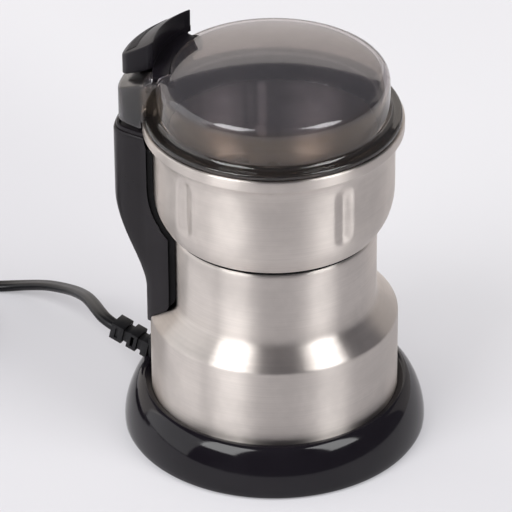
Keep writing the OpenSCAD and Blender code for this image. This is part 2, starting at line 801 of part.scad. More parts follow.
module push_rod() {
    color([0.9, 0.9, 0.88])
    translate([-rod_u, 0, 0]) {
        translate([0, 0, 100]) cylinder(r = 2.2, h = rod_high - 100);
        translate([0, 0, 105]) cylinder(r = 4, h = 1.4);
    }
}

module rod_spring() {
    color([0.75, 0.75, 0.78])
    translate([-rod_u, 0, 0]) coil_spring(3.1, 0.35, 97.1, 104.9, 5);
}

module switch_body() {
    color([0.16, 0.16, 0.17])
    difference() {
        union() {
            translate([-rod_u - 2.6, -9, 86.5]) cube([5.2, 18, 10.5]);
            for (y = [-7.5, 0, 7.5]) translate([-rod_u - 0.4, y - 1.6, 82.5]) cube([0.8, 3.2, 4.2]);
        }
        translate([-rod_u, 0, 92]) cylinder(r = 1.65, h = 10, $fn = 48);
        for (y = [-6.8, 6.8]) translate([-rod_u - 5, y, 90]) rotate([0, 90, 0])
            cylinder(r = 1.3, h = 10, $fn = 32);
    }
}

module switch_button() {
    color([0.8, 0.25, 0.15])
    translate([-rod_u, 0, 94.4]) cylinder(r = 1.6, h = 5.2, $fn = 48);
}

module housing_screws() {
    color([0.7, 0.7, 0.72])
    for (z = [62, 76]) translate([-neck_r + sheet + 0.2, 0, z]) rotate([0, -90, 0])
        translate([0, 0, 5]) mirror([0, 0, 1]) pan_screw(5, 1.3, 2.8, $fn = 32);
}

// ---- Cord ----

// The strain relief leaves the body at relief_z, turned and raised from the -X direction
relief_z = 20.4;
relief_turn = -12;
relief_rise = 14;
relief_len = 17;

module relief_place() {
    translate([-body_r - 2.2, -0.8, relief_z]) rotate([0, 0, relief_turn]) rotate([0, relief_rise, 0])
        mirror([1, 0, 0]) children();
}

module strain_relief() {
    color([0.07, 0.07, 0.075])
    difference() {
        union() {
            // collar against the steel, and the throat through it
            translate([-body_r - 2.4, -5, 13.6]) cube([2.3, 10, 13.2]);
            translate([-body_r - 0.5, -3.1, 16.8]) cube([5.4, 6.2, 7.4]);
            relief_place() {
                translate([-1.6, -2.6, -3]) cube([relief_len + 1.6, 5.2, 6]);
                for (x = [1.2, 9.6]) translate([x, -3.3, -4]) difference() {
                    cube([7.2, 6.6, 8]);
                    for (y = [-1, 5.6]) translate([3, y, 1.2]) cube([1.3, 2, 5.6]);
                }
            }
        }
        relief_place() translate([relief_len - 5, -cord_w / 2 - 0.05, -cord_t / 2 - 0.05])
            cube([20, cord_w + 0.1, cord_t + 0.1]);
    }
}

module cord_clamp() {
    color([0.85, 0.85, 0.83])
    difference() {
        translate([-body_r + 5, -6, 20.1]) cube([4.6, 12, 4.6]);
        translate([-body_r + 4, -3.1, 19]) cube([8, 6.2, 3.6]);
    }
}

// Middle line of the cord from the strain relief to the coil, and from the coil to the plug
lead_points = [[-58.4, 1.6, 23.3], [-63.2, 2.6, 24.5], [-68, 5, 25.2], [-72.6, 10, 24.6], [-77.6, 16.6, 23],
    [-83, 23.4, 20.6], [-90, 31, 16.8], [-97.8, 37.6, 12.8], [-106.4, 43, 9], [-114.6, 46.2, 5.6],
    [-122, 47.6, 3], [-129, 46.8, 1.8], [-138, 44.4, 1.7], [-150, 41.1, 1.7],
    [-162, 37.8, 1.7], [-166.2, 36.7, 1.7]];
coil_at = [-158, 6, 0];
tail_points = [[-185.5, 21.9, 5], [-188, 17.6, 5], [-191.2, 12, 5.3], [-195, 5.4, 6], [-198.6, -0.8, 6.6],
    [-201, -5, 6.8], [-203, -8.5, 6.8]];

// A smooth line through the given points, with n steps between each pair
function curve(p, n) = concat([for (i = [0:len(p) - 2]) for (k = [0:n - 1]) let (t = k / n,
        a = p[max(i - 1, 0)], b = p[i], c = p[i + 1], d = p[min(i + 2, len(p) - 1)])
    (2 * b + t * (c - a) + t * t * (2 * a - 5 * b + 4 * c - d) + t * t * t * (3 * b - 3 * c + d - a)) / 2],
    [p[len(p) - 1]]);

function unit(v) = v / norm(v);
function cross3(a, b) = [a[1] * b[2] - a[2] * b[1], a[2] * b[0] - a[0] * b[2], a[0] * b[1] - a[1] * b[0]];

// Sweeps the cord's oval section along a route, level across its width
module cord_tube(route, w, t) {
    sides = 10;
    n = len(route);
    rings = [for (i = [0:n - 1]) let (
            along = unit(route[min(i + 1, n - 1)] - route[max(i - 1, 0)]),
            across = unit(cross3([0, 0, 1], along)),
            up = cross3(along, across))
        [for (k = [0:sides - 1]) let (a = 360 * k / sides)
            route[i] + across * (w / 2 * cos(a)) + up * (t / 2 * sin(a))]];
    polyhedron(points = [for (r = rings) for (p = r) p],
        faces = concat(
            [[for (k = [sides - 1:-1:0]) k]],
            [for (i = [0:n - 2]) for (k = [0:sides - 1]) let (m = (k + 1) % sides)
                each [[i * sides + k, i * sides + m, (i + 1) * sides + m],
                    [i * sides + k, (i + 1) * sides + m, (i + 1) * sides + k]]],
            [[for (k = [0:sides - 1]) (n - 1) * sides + k]]));
}

module cord_lead() {
    color([0.06, 0.06, 0.065]) cord_tube(curve(lead_points, 2), cord_w, cord_t);
}

module cord_coil() {
    color([0.06, 0.06, 0.065])
    translate(coil_at) rotate_extrude() translate([coil_r - cord_w, 0]) union() {
        translate([0, 1.4]) square([2 * cord_w, coil_h - 2.8]);
        translate([1.4, 0]) square([2 * cord_w - 2.8, coil_h]);
        for (x = [1.4, 2 * cord_w - 1.4]) for (y = [1.4, coil_h - 1.4])
            translate([x, y]) circle(r = 1.4, $fn = 24);
    }
}

module cord_tail() {
    color([0.06, 0.06, 0.065]) cord_tube(curve(tail_points, 2), cord_w, cord_t);
}

plug_at = [-201.6, -6.1, 6.8];
plug_az = 240;
pin_gap = 18.6;

module plug_body() {
    color([0.06, 0.06, 0.065])
    translate(plug_at) rotate(plug_az) difference() {
        union() {
            rotate([0, 90, 0]) cylinder(r1 = 3.9, r2 = 4.6, h = 10, $fn = 48);
            translate([0, 0, -6.7]) linear_extrude(height = 13.4)
                polygon([[8, -5.5], [8, 5.5], [20, 15], [33, 17.6], [36, 17.6], [36, -17.6],
                    [33, -17.6], [20, -15]]);
        }
        translate([-1, -cord_w / 2 - 0.05, -cord_t / 2 - 0.05]) cube([3, cord_w + 0.1, cord_t + 0.1]);
        for (s = [-1, 1]) translate([30, s * pin_gap / 2, 0]) rotate([0, 90, 0])
            cylinder(r = 2, h = 10, $fn = 48);
    }
}

module plug_pins() {
    color([0.8, 0.8, 0.82])
    translate(plug_at) rotate(plug_az) for (s = [-1, 1]) translate([30, s * pin_gap / 2, 0])
        rotate([0, 90, 0]) {
            cylinder(r = 2, h = 23.5, $fn = 48);
            translate([0, 0, 23.5]) cylinder(r1 = 2, r2 = 1.2, h = 1.5, $fn = 48);
        }
}

base();
base_cover();
rubber_feet();
cover_screws();
housing_shell();
lower_bracket();
deck_screws();
lower_bearing();
stator_core();
field_coils();
stator_screws();
upper_bracket();
upper_bearing();
brush_holders();
carbon_brushes();
brush_springs();
bowl_support();
bowl();
bowl_screws();
shaft_seal();
motor_shaft();
armature_core();
armature_windings();
commutator();
cooling_fan();
blade_hub();
blade();
blade_nut();
lid();
press_lever();
lever_clip();
lever_spring();
switch_housing();
housing_liner();
rod_guide();
push_rod();
rod_spring();
switch_body();
switch_button();
housing_screws();
strain_relief();
cord_clamp();
cord_lead();
cord_coil();
cord_tail();
plug_body();
plug_pins();
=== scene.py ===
"""Electric spice grinder: the pieces, finishes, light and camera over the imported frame."""

import math

import bmesh
import bpy
from mathutils import Matrix, Vector


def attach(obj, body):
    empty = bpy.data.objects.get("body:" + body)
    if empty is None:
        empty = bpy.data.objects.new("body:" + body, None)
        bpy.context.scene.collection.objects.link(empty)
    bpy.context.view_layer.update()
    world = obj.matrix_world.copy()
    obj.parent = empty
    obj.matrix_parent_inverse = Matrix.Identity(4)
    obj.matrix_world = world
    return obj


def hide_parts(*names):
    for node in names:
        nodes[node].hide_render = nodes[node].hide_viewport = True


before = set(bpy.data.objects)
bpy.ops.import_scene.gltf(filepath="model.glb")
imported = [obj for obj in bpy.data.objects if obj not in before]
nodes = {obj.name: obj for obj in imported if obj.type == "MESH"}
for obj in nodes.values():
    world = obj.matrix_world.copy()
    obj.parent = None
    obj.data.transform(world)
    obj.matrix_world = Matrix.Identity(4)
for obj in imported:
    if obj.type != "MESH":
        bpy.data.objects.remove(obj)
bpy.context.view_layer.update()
scene = bpy.context.scene

# Millimetres in a metre: outlines are in millimetres, meshes in metres
MM = 1000.0
# Points closer together than this, in metres, are one point
WELD = 2e-6
# Radians between two faces: up to the first they are one flat face, past the second their edge is rounded
FLAT = math.radians(1.0)
CREASE = 0.6

# ---------------------------------------------------------------- camera

# Where the lens stands, in metres, and how it is turned, tilted and rolled, in degrees
LENS_AT = (0.4163, -1.2090, 0.8668)
LENS_TURN = 19.290
LENS_TILT = 58.035
LENS_ROLL = -0.379
FOCAL_LENGTH = 294.6
SENSOR_WIDTH = 36.0

eye = bpy.data.cameras.new("eye")
eye.lens = FOCAL_LENGTH
eye.sensor_width = SENSOR_WIDTH
camera = bpy.data.objects.new("camera", eye)
scene.collection.objects.link(camera)
camera.matrix_world = (
    Matrix.Translation(LENS_AT)
    @ Matrix.Rotation(math.radians(LENS_TURN), 4, "Z")
    @ Matrix.Rotation(math.radians(LENS_TILT), 4, "X")
    @ Matrix.Rotation(math.radians(LENS_ROLL), 4, "Z")
)
scene.camera = camera
scene.view_settings.view_transform = "Standard"

# ---------------------------------------------------------------- making pieces


def piece(name, mesh, finish, body, stands_for, sharp=35.0):
    """A finished piece at the origin that rides on a CAD body; edges over sharp degrees stay crisp."""
    mesh.name = name
    mesh.materials.clear()
    mesh.materials.append(finish)
    mesh.shade_smooth()
    mesh.set_sharp_from_angle(angle=math.radians(sharp))
    obj = bpy.data.objects.new(name, mesh)
    scene.collection.objects.link(obj)
    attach(obj, body)
    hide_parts(*stands_for)
    return obj


def to_mesh(bm, name):
    """The bmesh as a mesh; the bmesh itself is freed."""
    mesh = bpy.data.meshes.new(name)
    bm.to_mesh(mesh)
    bm.free()
    return mesh


def eased(t):
    """0 up to 0, 1 from 1 on, and level at both ends of the climb between them."""
    t = min(max(t, 0.0), 1.0)
    return t * t * (3 - 2 * t)


def bend(a, b, c, n=6):
    """Points of a curve from a to c that leaves a towards b, a itself left out."""
    return [
        tuple((1 - t) ** 2 * p + 2 * t * (1 - t) * q + t * t * r for p, q, r in zip(a, b, c))
        for t in (i / n for i in range(1, n + 1))
    ]


def sharp_edges(bm):
    """The edges that are to be rounded."""
    return [e for e in bm.edges if e.is_manifold and e.calc_face_angle() > CREASE]


def round_edges(bm, edges, width, segments=2):
    """Rounds the edges over width millimetres."""
    bmesh.ops.bevel(
        bm, geom=edges, offset=width / MM, offset_type="OFFSET", affect="EDGES", segments=segments,
        profile=0.5, material=-1, clamp_overlap=True, loop_slide=True,
    )


def eased_copy(node, width, segments):
    """A copy of a CAD node with its flat faces whole and its edges rounded over width millimetres."""
    bm = bmesh.new()
    bm.from_mesh(nodes[node].data)
    bmesh.ops.remove_doubles(bm, verts=bm.verts, dist=WELD)
    bmesh.ops.dissolve_limit(
        bm, angle_limit=FLAT, use_dissolve_boundaries=False,
        verts=bm.verts, edges=bm.edges, delimit={"NORMAL"},
    )
    round_edges(bm, sharp_edges(bm), width, segments)
    bmesh.ops.triangulate(bm, faces=[f for f in bm.faces if len(f.verts) > 4])
    return to_mesh(bm, node)


# ---------------------------------------------------------------- closed solids


def turned(outline, steps):
    """A closed skin turned about +Z from (radius, height) points in millimetres."""
    bm = bmesh.new()
    verts = [bm.verts.new((r / MM, 0.0, z / MM)) for r, z in outline]
    edges = [bm.edges.new(pair) for pair in zip(verts, verts[1:] + verts[:1])]
    bmesh.ops.spin(
        bm, geom=verts + edges, cent=(0, 0, 0), axis=(0, 0, 1),
        angle=2 * math.pi, steps=steps, use_merge=True, use_duplicate=False,
    )
    bmesh.ops.remove_doubles(bm, verts=bm.verts, dist=WELD / 2)
    bmesh.ops.recalc_face_normals(bm, faces=bm.faces)
    return bm


def box_of(x0, x1, y0, y1, z0, z1):
    """A closed box between the places of its six faces in millimetres."""
    bm = bmesh.new()
    bmesh.ops.create_cube(bm, size=1.0)
    sides = ((x0, x1), (y0, y1), (z0, z1))
    for v in bm.verts:
        v.co = [(low if c < 0 else high) / MM for c, (low, high) in zip(v.co, sides)]
    return bm


def rod(x, low, high, radius):
    """A closed upright cylinder on the plane y = 0, in millimetres."""
    bm = bmesh.new()
    bmesh.ops.create_cone(
        bm, cap_ends=True, cap_tris=False, segments=48, radius1=radius / MM, radius2=radius / MM,
        depth=(high - low) / MM, matrix=Matrix.Translation((x / MM, 0.0, (low + high) / 2 / MM)),
    )
    return bm


def loft(rings):
    """A closed skin over rings of (x, y, z) points in millimetres that have one number of points."""
    bm = bmesh.new()
    rows = [[bm.verts.new((x / MM, y / MM, z / MM)) for x, y, z in ring] for ring in rings]
    for low, high in zip(rows, rows[1:]):
        for i in range(len(low)):
            bm.faces.new((low[i - 1], low[i], high[i], high[i - 1]))
    bm.faces.new(reversed(rows[0]))
    bm.faces.new(rows[-1])
    bmesh.ops.recalc_face_normals(bm, faces=bm.faces)
    return bm


def joined(*parts):
    """One bmesh that holds several closed skins."""
    whole = bmesh.new()
    for part in parts:
        mesh = to_mesh(part, "part")
        whole.from_mesh(mesh)
        bpy.data.meshes.remove(mesh)
    return whole


def cut(target, *tools):
    """Booleans of closed bmeshes: tools are (operation, bmesh) pairs, worked through in turn."""
    base_obj = bpy.data.objects.new("target", to_mesh(target, "target"))
    scene.collection.objects.link(base_obj)
    made = [base_obj]
    for operation, tool in tools:
        other = bpy.data.objects.new("tool", to_mesh(tool, "tool"))
        scene.collection.objects.link(other)
        modifier = base_obj.modifiers.new("step", "BOOLEAN")
        modifier.operation = operation
        modifier.object = other
        modifier.solver = "EXACT"
        made.append(other)
    bpy.context.view_layer.update()
    mesh = bpy.data.meshes.new_from_object(base_obj.evaluated_get(bpy.context.evaluated_depsgraph_get()))
    for obj in made:
        data = obj.data
        bpy.data.objects.remove(obj)
        bpy.data.meshes.remove(data)
    bm = bmesh.new()
    bm.from_mesh(mesh)
    bpy.data.meshes.remove(mesh)
    bmesh.ops.remove_doubles(bm, verts=bm.verts, dist=WELD)
    return bm


# ---------------------------------------------------------------- making finishes


def shade(colour, k):
    """The colour made k times as bright."""
    return tuple(c * k for c in colour)


class Value:
    """One value in a node tree that takes arithmetic."""

    def __init__(self, finish, socket):
        self.finish = finish
        self.socket = socket

    def _math(self, operation, *parts):
        return self.finish.add("Math", dict(enumerate(parts)), operation=operation)

    def __add__(self, other):
        return self._math("ADD", self, other)

    __radd__ = __add__

    def __sub__(self, other):
        return self._math("SUBTRACT", self, other)

    def __rsub__(self, other):
        return self._math("SUBTRACT", other, self)

    def __mul__(self, other):
        return self._math("MULTIPLY", self, other)

    __rmul__ = __mul__

    def between(self, low, high):
        """0 below low, 1 above high, smooth in between."""
        return self.finish.add(
            "MapRange", {"Value": self, "From Min": low, "From Max": high},
            interpolation_type="SMOOTHSTEP",
        )


class Finish:
    """A node material that is being put together."""

    # Places of a colour mix's sockets: its two colours and its result
    MIX_A = 6
    MIX_B = 7
    MIX_OUT = 2

    def __init__(self, name):
        self.material = bpy.data.materials.new(name)
        self.material.use_nodes = True
        self.tree = self.material.node_tree
        self.tree.nodes.clear()

    def add(self, kind, values=None, out=0, **settings):
        """Adds a node: its settings first, then the values or links of its sockets."""
        node = self.tree.nodes.new("ShaderNode" + kind)
        for key, setting in settings.items():
            setattr(node, key, setting)
        for key, value in (values or {}).items():
            socket = node.inputs[key]
            if isinstance(value, Value):
                self.tree.links.new(value.socket, socket)
            elif socket.type == "RGBA":
                socket.default_value = (*value, 1.0)
            else:
                socket.default_value = value
        return Value(self, node.outputs[out])

    def place(self):
        """Object coordinates in metres."""
        return self.add("TexCoord", out="Object")

    def place_parts(self):
        """Object coordinates in metres as three values: x, y and z."""
        node = self.add("SeparateXYZ", {"Vector": self.place()}).socket.node
        return [Value(self, socket) for socket in node.outputs]

    def noise(self, scale, detail=3.0, roughness=0.5, where=None):
        """Soft noise from 0 to 1 over the object, or over the places in where."""
        return self.add("TexNoise", {
            "Vector": where or self.place(), "Scale": scale, "Detail": detail, "Roughness": roughness,
        })

    def mix(self, factor, a, b):
        """A colour between a and b."""
        return self.add("Mix", {0: factor, self.MIX_A: a, self.MIX_B: b}, out=self.MIX_OUT, data_type="RGBA")

    def mix_shaders(self, factor, a, b):
        """A shader between a and b."""
        return self.add("MixShader", {0: factor, 1: a, 2: b})

    def bump(self, height, strength, distance):
        """A normal that follows the height."""
        return self.add("Bump", {"Height": height, "Strength": strength, "Distance": distance})

    def surface(self, **values):
        """A Principled shader; the names of its sockets use _ for a space."""
        return self.add("BsdfPrincipled", {key.replace("_", " "): value for key, value in values.items()})

    def show(self, shader):
        """Ends the finish with this shader and gives back the material."""
        out = self.tree.nodes.new("ShaderNodeOutputMaterial")
        self.tree.links.new(shader.socket, out.inputs["Surface"])
        return self.material


def brushed_steel(name, tone, rough):
    """Satin steel with fine lines that run round the body's axis."""
    f = Finish(name)
    x, y, z = f.place_parts()
    angle = f.add("Math", {0: y, 1: x}, operation="ARCTAN2")
    lines = f.add("CombineXYZ", {"X": angle * 0.9, "Y": z * 1500.0})
    grain = f.noise(1.0, 4.0, 0.65, where=lines)
    cloud = f.noise(34.0, 4.0, 0.6)
    colour = f.mix(cloud.between(0.35, 0.65), shade(tone, 0.79), tone)
    colour = f.mix(grain.between(0.25, 0.8) * 0.35, colour, shade(tone, 0.72))
    return f.show(f.surface(
        Base_Color=colour, Metallic=1.0, Anisotropic=1.0, Anisotropic_Rotation=0.25,
        Roughness=rough + (grain - 0.5) * 0.16 + (cloud - 0.5) * 0.22,
        Normal=f.bump(grain, 0.10, 0.0001),
    ))


def moulded(name, colour, rough, grain=900.0, depth=0.05, shine=0.5):
    """Moulded plastic with a fine grain and a faint change of gloss."""
    f = Finish(name)
    fine = f.noise(grain, 3.0, 0.6)
    wide = f.noise(45.0, 3.0, 0.55)
    paler = tuple(c * 1.18 + 0.002 for c in colour)
    return f.show(f.surface(
        Base_Color=f.mix(wide.between(0.3, 0.7), colour, paler), Specular_IOR_Level=shine,
        Roughness=rough + (wide - 0.5) * 0.12 + (fine - 0.5) * 0.06, Normal=f.bump(fine, depth, 0.0002),
    ))


def plain_metal(name, colour, rough, scale=220.0):
    """A worked metal with a faint mottled surface."""
    f = Finish(name)
    wide = f.noise(scale, 4.0, 0.6)
    return f.show(f.surface(
        Base_Color=f.mix(wide.between(0.3, 0.7), shade(colour, 0.82), colour), Metallic=1.0,
        Roughness=rough + (wide - 0.5) * 0.15, Normal=f.bump(wide, 0.05, 0.0002),
    ))


def stacked_sheets(name, colour, sheet=0.65):
    """Laminations: sheets of this thickness in millimetres with dark lines between them."""
    f = Finish(name)
    height = f.place_parts()[2]
    line = f.add("Math", {0: height * (MM / sheet)}, operation="FRACT")
    gap = line.between(0.0, 0.18) * (1.0 - line.between(0.82, 1.0))
    return f.show(f.surface(
        Base_Color=f.mix(gap, shade(colour, 0.4), colour), Metallic=1.0,
        Roughness=0.62 - gap * 0.2, Normal=f.bump(gap, 0.25, 0.0001),
    ))


def wound_wire(name, colour):
    """Enamelled wire laid side by side."""
    f = Finish(name)
    bands = f.add(
        "TexWave", {"Vector": f.place(), "Scale": 260.0, "Distortion": 1.5, "Detail": 1.0},
        wave_type="BANDS", bands_direction="DIAGONAL",
    )
    return f.show(f.surface(
        Base_Color=f.mix(bands, shade(colour, 0.45), colour), Metallic=0.6,
        Roughness=0.3, Coat_Weight=0.4, Coat_Roughness=0.15, Normal=f.bump(bands, 0.4, 0.0003),
    ))


# Where the lid's tone changes, in metres: heights over the flange, up the wall, where the painted warm
# reflection ends, and at the dome's shoulder, and the places along x where the lug begins
OVER_FLANGE = (0.1295, 0.1325)
UP_WALL = (0.1395, 0.1440)
AT_SHOULDER = (0.1435, 0.1460)
AT_LUG = (-0.0435, -0.0415)


def smoky_clear(name, tint, side):
    """Clear smoky plastic, darker in its thick flange and its lug, hazier on its dome, and warmer at its
    side, where the warm tint is a painted reflection of golden light seen through the wall.

    Lamps shine through it, dimmed.
    """
    f = Finish(name)
    x, _, height = f.place_parts()
    haze = f.noise(60.0, 3.0, 0.5)
    scuffs = f.noise(420.0, 5.0, 0.65).between(0.45, 0.75)
    flange = 1.0 - height.between(*OVER_FLANGE)
    wall = 1.0 - height.between(*UP_WALL)
    dome = height.between(*AT_SHOULDER)
    lug = 1.0 - x.between(*AT_LUG)
    colour = f.mix(haze.between(0.35, 0.7), tint, shade(tint, 0.94))
    # Painted reflection: below the shoulder the wall takes the warm side tint, which stands for golden
    # reflections seen through it
    colour = f.mix(wall, colour, side)
    colour = f.mix(flange * 0.75, colour, shade(tint, 0.22))
    colour = f.mix(lug * 0.9, colour, shade(tint, 0.2))
    glass = f.surface(
        Base_Color=colour, Roughness=0.03 + dome * (0.015 + scuffs * 0.05) + scuffs * 0.02 + lug * 0.16,
        IOR=1.49, Transmission_Weight=0.95,
    )
    film = f.add("BsdfTransparent", {"Color": shade(tint, 0.95)})
    shadow = f.add("LightPath", out="Is Shadow Ray")
    return f.show(f.mix_shaders(shadow, glass, film))


# ---------------------------------------------------------------- the grinder's finishes

steel_body = brushed_steel("brushed steel body", (0.64, 0.592, 0.555), 0.37)
steel_bowl = brushed_steel("brushed steel bowl", (0.64, 0.59, 0.55), 0.37)
gloss_black = moulded(
    "gloss black plastic", (0.004, 0.003, 0.005), 0.10, grain=500.0, depth=0.015, shine=0.28)
satin_black = moulded(
    "satin black plastic", (0.007, 0.0055, 0.007), 0.30, grain=1400.0, depth=0.05, shine=0.20)
lever_black = moulded(
    "lever black plastic", (0.005, 0.004, 0.006), 0.34, grain=1400.0, depth=0.08, shine=0.13)
dull_black = moulded("dull black plastic", (0.012, 0.012, 0.012), 0.6)
# Black plastic that is also painted shade: so dark that the liner and the ring under the bowl stand for the
# deep shade in the gaps they fill
black_and_gap_shade = moulded("black plastic with painted gap shade", (0.002, 0.0018, 0.002), 0.7, shine=0.1)
soft_rubber = moulded("soft black rubber", (0.016, 0.016, 0.016), 0.7, grain=700.0, depth=0.15)
vinyl = moulded("black cord vinyl", (0.004, 0.004, 0.005), 0.36, grain=800.0, depth=0.05, shine=0.24)
# The second colour is the wall's warm tint, a painted reflection of golden light seen through it
clear_plastic = smoky_clear("smoky clear plastic", (0.41, 0.395, 0.425), (0.43, 0.355, 0.285))
nylon = moulded("white nylon", (0.72, 0.72, 0.68), 0.45, depth=0.04)
guide_plastic = moulded("dark guide plastic", (0.02, 0.02, 0.021), 0.4, depth=0.04)
red_plastic = moulded("red plastic", (0.50, 0.05, 0.03), 0.35)
screw_steel = plain_metal("zinc plated steel", (0.62, 0.62, 0.64), 0.32)
blade_steel = plain_metal("ground blade steel", (0.66, 0.66, 0.67), 0.24, scale=500.0)
cast_metal = plain_metal("cast bracket metal", (0.52, 0.53, 0.55), 0.5, scale=700.0)
bronze = plain_metal("sintered bronze", (0.55, 0.36, 0.18), 0.48, scale=1200.0)
brass = plain_metal("brass", (0.68, 0.52, 0.24), 0.34)
copper = plain_metal("turned copper", (0.72, 0.38, 0.22), 0.28)
nickel = plain_metal("nickel plate", (0.70, 0.69, 0.67), 0.18)
laminations = stacked_sheets("laminations", (0.36, 0.37, 0.39))
wire = wound_wire("enamelled wire", (0.42, 0.15, 0.05))
carbon = moulded("carbon", (0.03, 0.03, 0.033), 0.55, grain=2000.0, depth=0.2)

NODE_FINISH = {
    dull_black: ["base_cover", "blade_hub", "switch_body"],
    # The liner's near-black also paints the shade of the gap between the housing and the steel
    black_and_gap_shade: ["bowl_support", "housing_liner"],
    soft_rubber: ["rubber_feet", "shaft_seal"],
    screw_steel: ["cover_screws", "deck_screws", "stator_screws", "bowl_screws", "housing_screws",
                  "lever_clip", "lever_spring", "rod_spring", "brush_springs", "motor_shaft"],
    blade_steel: ["blade", "blade_nut"],
    cast_metal: ["lower_bracket", "upper_bracket"],
    bronze: ["lower_bearing", "upper_bearing"],
    laminations: ["stator_core", "armature_core"],
    wire: ["field_coils", "armature_windings"],
    copper: ["commutator"],
    brass: ["brush_holders"],
    carbon: ["carbon_brushes"],
    nylon: ["cooling_fan", "cord_clamp"],
    guide_plastic: ["rod_guide", "push_rod"],
    red_plastic: ["switch_button"],
    nickel: ["plug_pins"],
    gloss_black: ["base"],
    satin_black: ["switch_housing"],
    lever_black: ["press_lever"],
    vinyl: ["strain_relief", "cord_lead", "cord_coil", "cord_tail", "plug_body"],
    steel_body: ["housing_shell"],
    steel_bowl: ["bowl"],
    clear_plastic: ["lid"],
}
for node_finish, names in NODE_FINISH.items():
    for node_name in names:
        node_mesh = nodes[node_name].data
        node_mesh.materials.clear()
        node_mesh.materials.append(node_finish)

# ---------------------------------------------------------------- cord

LEAD = [(-58.4, 1.6, 23.3), (-63.2, 2.6, 24.5), (-68, 5, 25.2), (-72.6, 10, 24.6), (-77.6, 16.6, 23),
        (-83, 23.4, 20.6), (-90, 31, 16.8), (-97.8, 37.6, 12.8), (-106.4, 43, 9), (-114.6, 46.2, 5.6),
        (-122, 47.6, 3), (-129, 46.8, 1.8), (-138, 44.4, 1.7), (-150, 41.1, 1.7), (-162, 37.8, 1.7),
        (-166.2, 36.7, 1.7)]
TAIL = [(-185.5, 21.9, 5), (-188, 17.6, 5), (-191.2, 12, 5.3), (-195, 5.4, 6), (-198.6, -0.8, 6.6),
        (-201, -5, 6.8), (-203, -8.5, 6.8)]
COIL_AT = (-158.0, 6.0)
# Degrees between two points of the coil
COIL_STEP = 12.0
# Each strand of the coil: the angle where it is reached, its radius and its height
STRANDS = [(105, 31.7, 1.7), (425, 31.7, 1.7), (465, 26.3, 1.7), (785, 26.3, 1.7), (825, 26.3, 5.0),
           (1145, 26.3, 5.0), (1185, 26.3, 8.3), (1505, 26.3, 8.3), (1545, 31.7, 8.3),
           (1825, 31.7, 8.3), (1865, 31.7, 5.0), (1950, 31.7, 5.0)]
# The two cores of the flat cord: the radius of each, and how far each lies from the cord's middle
CORE_R = 1.62
CORE_AT = 1.05
# How far round a core the cord's skin follows it each way, in degrees, and in how many steps
CORE_ARC = 112
CORE_STEPS = 8


def smooth_line(points, n):
    """A smooth line through the points, with n steps between each pair."""
    line = []
    for i in range(len(points) - 1):
        a, b, c, d = (Vector(points[min(max(i + k, 0), len(points) - 1)]) for k in (-1, 0, 1, 2))
        for t in (k / n for k in range(n)):
            line.append((2 * b + t * (c - a) + t * t * (2 * a - 5 * b + 4 * c - d)
                         + t ** 3 * (3 * b - 3 * c + d - a)) / 2)
    return line + [Vector(points[-1])]


def coil_line():
    """The coil's turns between its first and its last strand."""
    line = []
    angle = STRANDS[0][0] + COIL_STEP
    while angle < STRANDS[-1][0] - COIL_STEP / 2:
        low, high = next((a, b) for a, b in zip(STRANDS, STRANDS[1:]) if a[0] <= angle <= b[0])
        t = eased((angle - low[0]) / (high[0] - low[0]))
        r, z = (low[k] + (high[k] - low[k]) * t for k in (1, 2))
        a = math.radians(angle)
        line.append(Vector((COIL_AT[0] + r * math.cos(a), COIL_AT[1] + r * math.sin(a), z)))
        angle += COIL_STEP
    return line


def poly_curve(name, points, dimensions):
    """A curve object of straight steps: a closed outline in 2D, an open line in 3D."""
    data = bpy.data.curves.new(name, "CURVE")
    data.dimensions = dimensions
    spline = data.splines.new("POLY")
    spline.points.add(len(points) - 1)
    for point, p in zip(spline.points, points):
        point.co = (*p, 1.0)
    spline.use_cyclic_u = dimensions == "2D"
    obj = bpy.data.objects.new(name, data)
    scene.collection.objects.link(obj)
    return obj


def flat_cord(line):
    """A two-core flat cord as a mesh, level across its width."""
    section = []
    for side in (1, -1):
        for i in range(CORE_STEPS + 1):
            a = math.radians(CORE_ARC * (2 * i / CORE_STEPS - 1))
            across = side * (CORE_AT + CORE_R * math.cos(a)) / MM
            section.append((across, side * CORE_R * math.sin(a) / MM, 0.0))
    profile = poly_curve("section", section, "2D")
    run = poly_curve("run", line, "3D")
    run.data.bevel_mode = "OBJECT"
    run.data.bevel_object = profile
    run.data.use_fill_caps = True
    run.data.twist_mode = "Z_UP"
    bpy.context.view_layer.update()
    mesh = bpy.data.meshes.new_from_object(run.evaluated_get(bpy.context.evaluated_depsgraph_get()))
    for obj in (run, profile):
        data = obj.data
        bpy.data.objects.remove(obj)
        bpy.data.curves.remove(data)
    return mesh


# ---------------------------------------------------------------- bend relief

# Where the relief's own line starts; it runs from there towards the lead's second point
RELIEF_AT = (-47.1, -0.8, 20.4)
# Along that line: where each rib starts and ends, and where each slot starts and how much core it leaves
RELIEF_RIBS = ((0.4, 3.2), (5.3, 9.4), (11.5, 16.8))
RELIEF_HALF = 3.45
RELIEF_SLOTS = ((6.7, 0.8), (13.5, 2.75))
SLOT_WIDTH = 1.3
SLOT_HALF = 2.2
SLOT_REACH = 7.0


def relief_block():
    """The relief's core with its ribs and the slots between them, along +X."""
    half = RELIEF_HALF
    tools = [("UNION", box_of(x0, x1, -half, half, -half, half)) for x0, x1 in RELIEF_RIBS]
    for start, core in RELIEF_SLOTS:
        for side in (-1, 1):
            near, far = sorted((side * core, side * SLOT_REACH))
            tools.append(("DIFFERENCE", box_of(start, start + SLOT_WIDTH, near, far, -SLOT_HALF, SLOT_HALF)))
    block = cut(box_of(-1.6, 17.0, -2.5, 2.5, -2.35, 2.35), *tools)
    bmesh.ops.dissolve_limit(block, angle_limit=FLAT, verts=block.verts, edges=block.edges)
    round_edges(block, sharp_edges(block), 0.3)
    return block


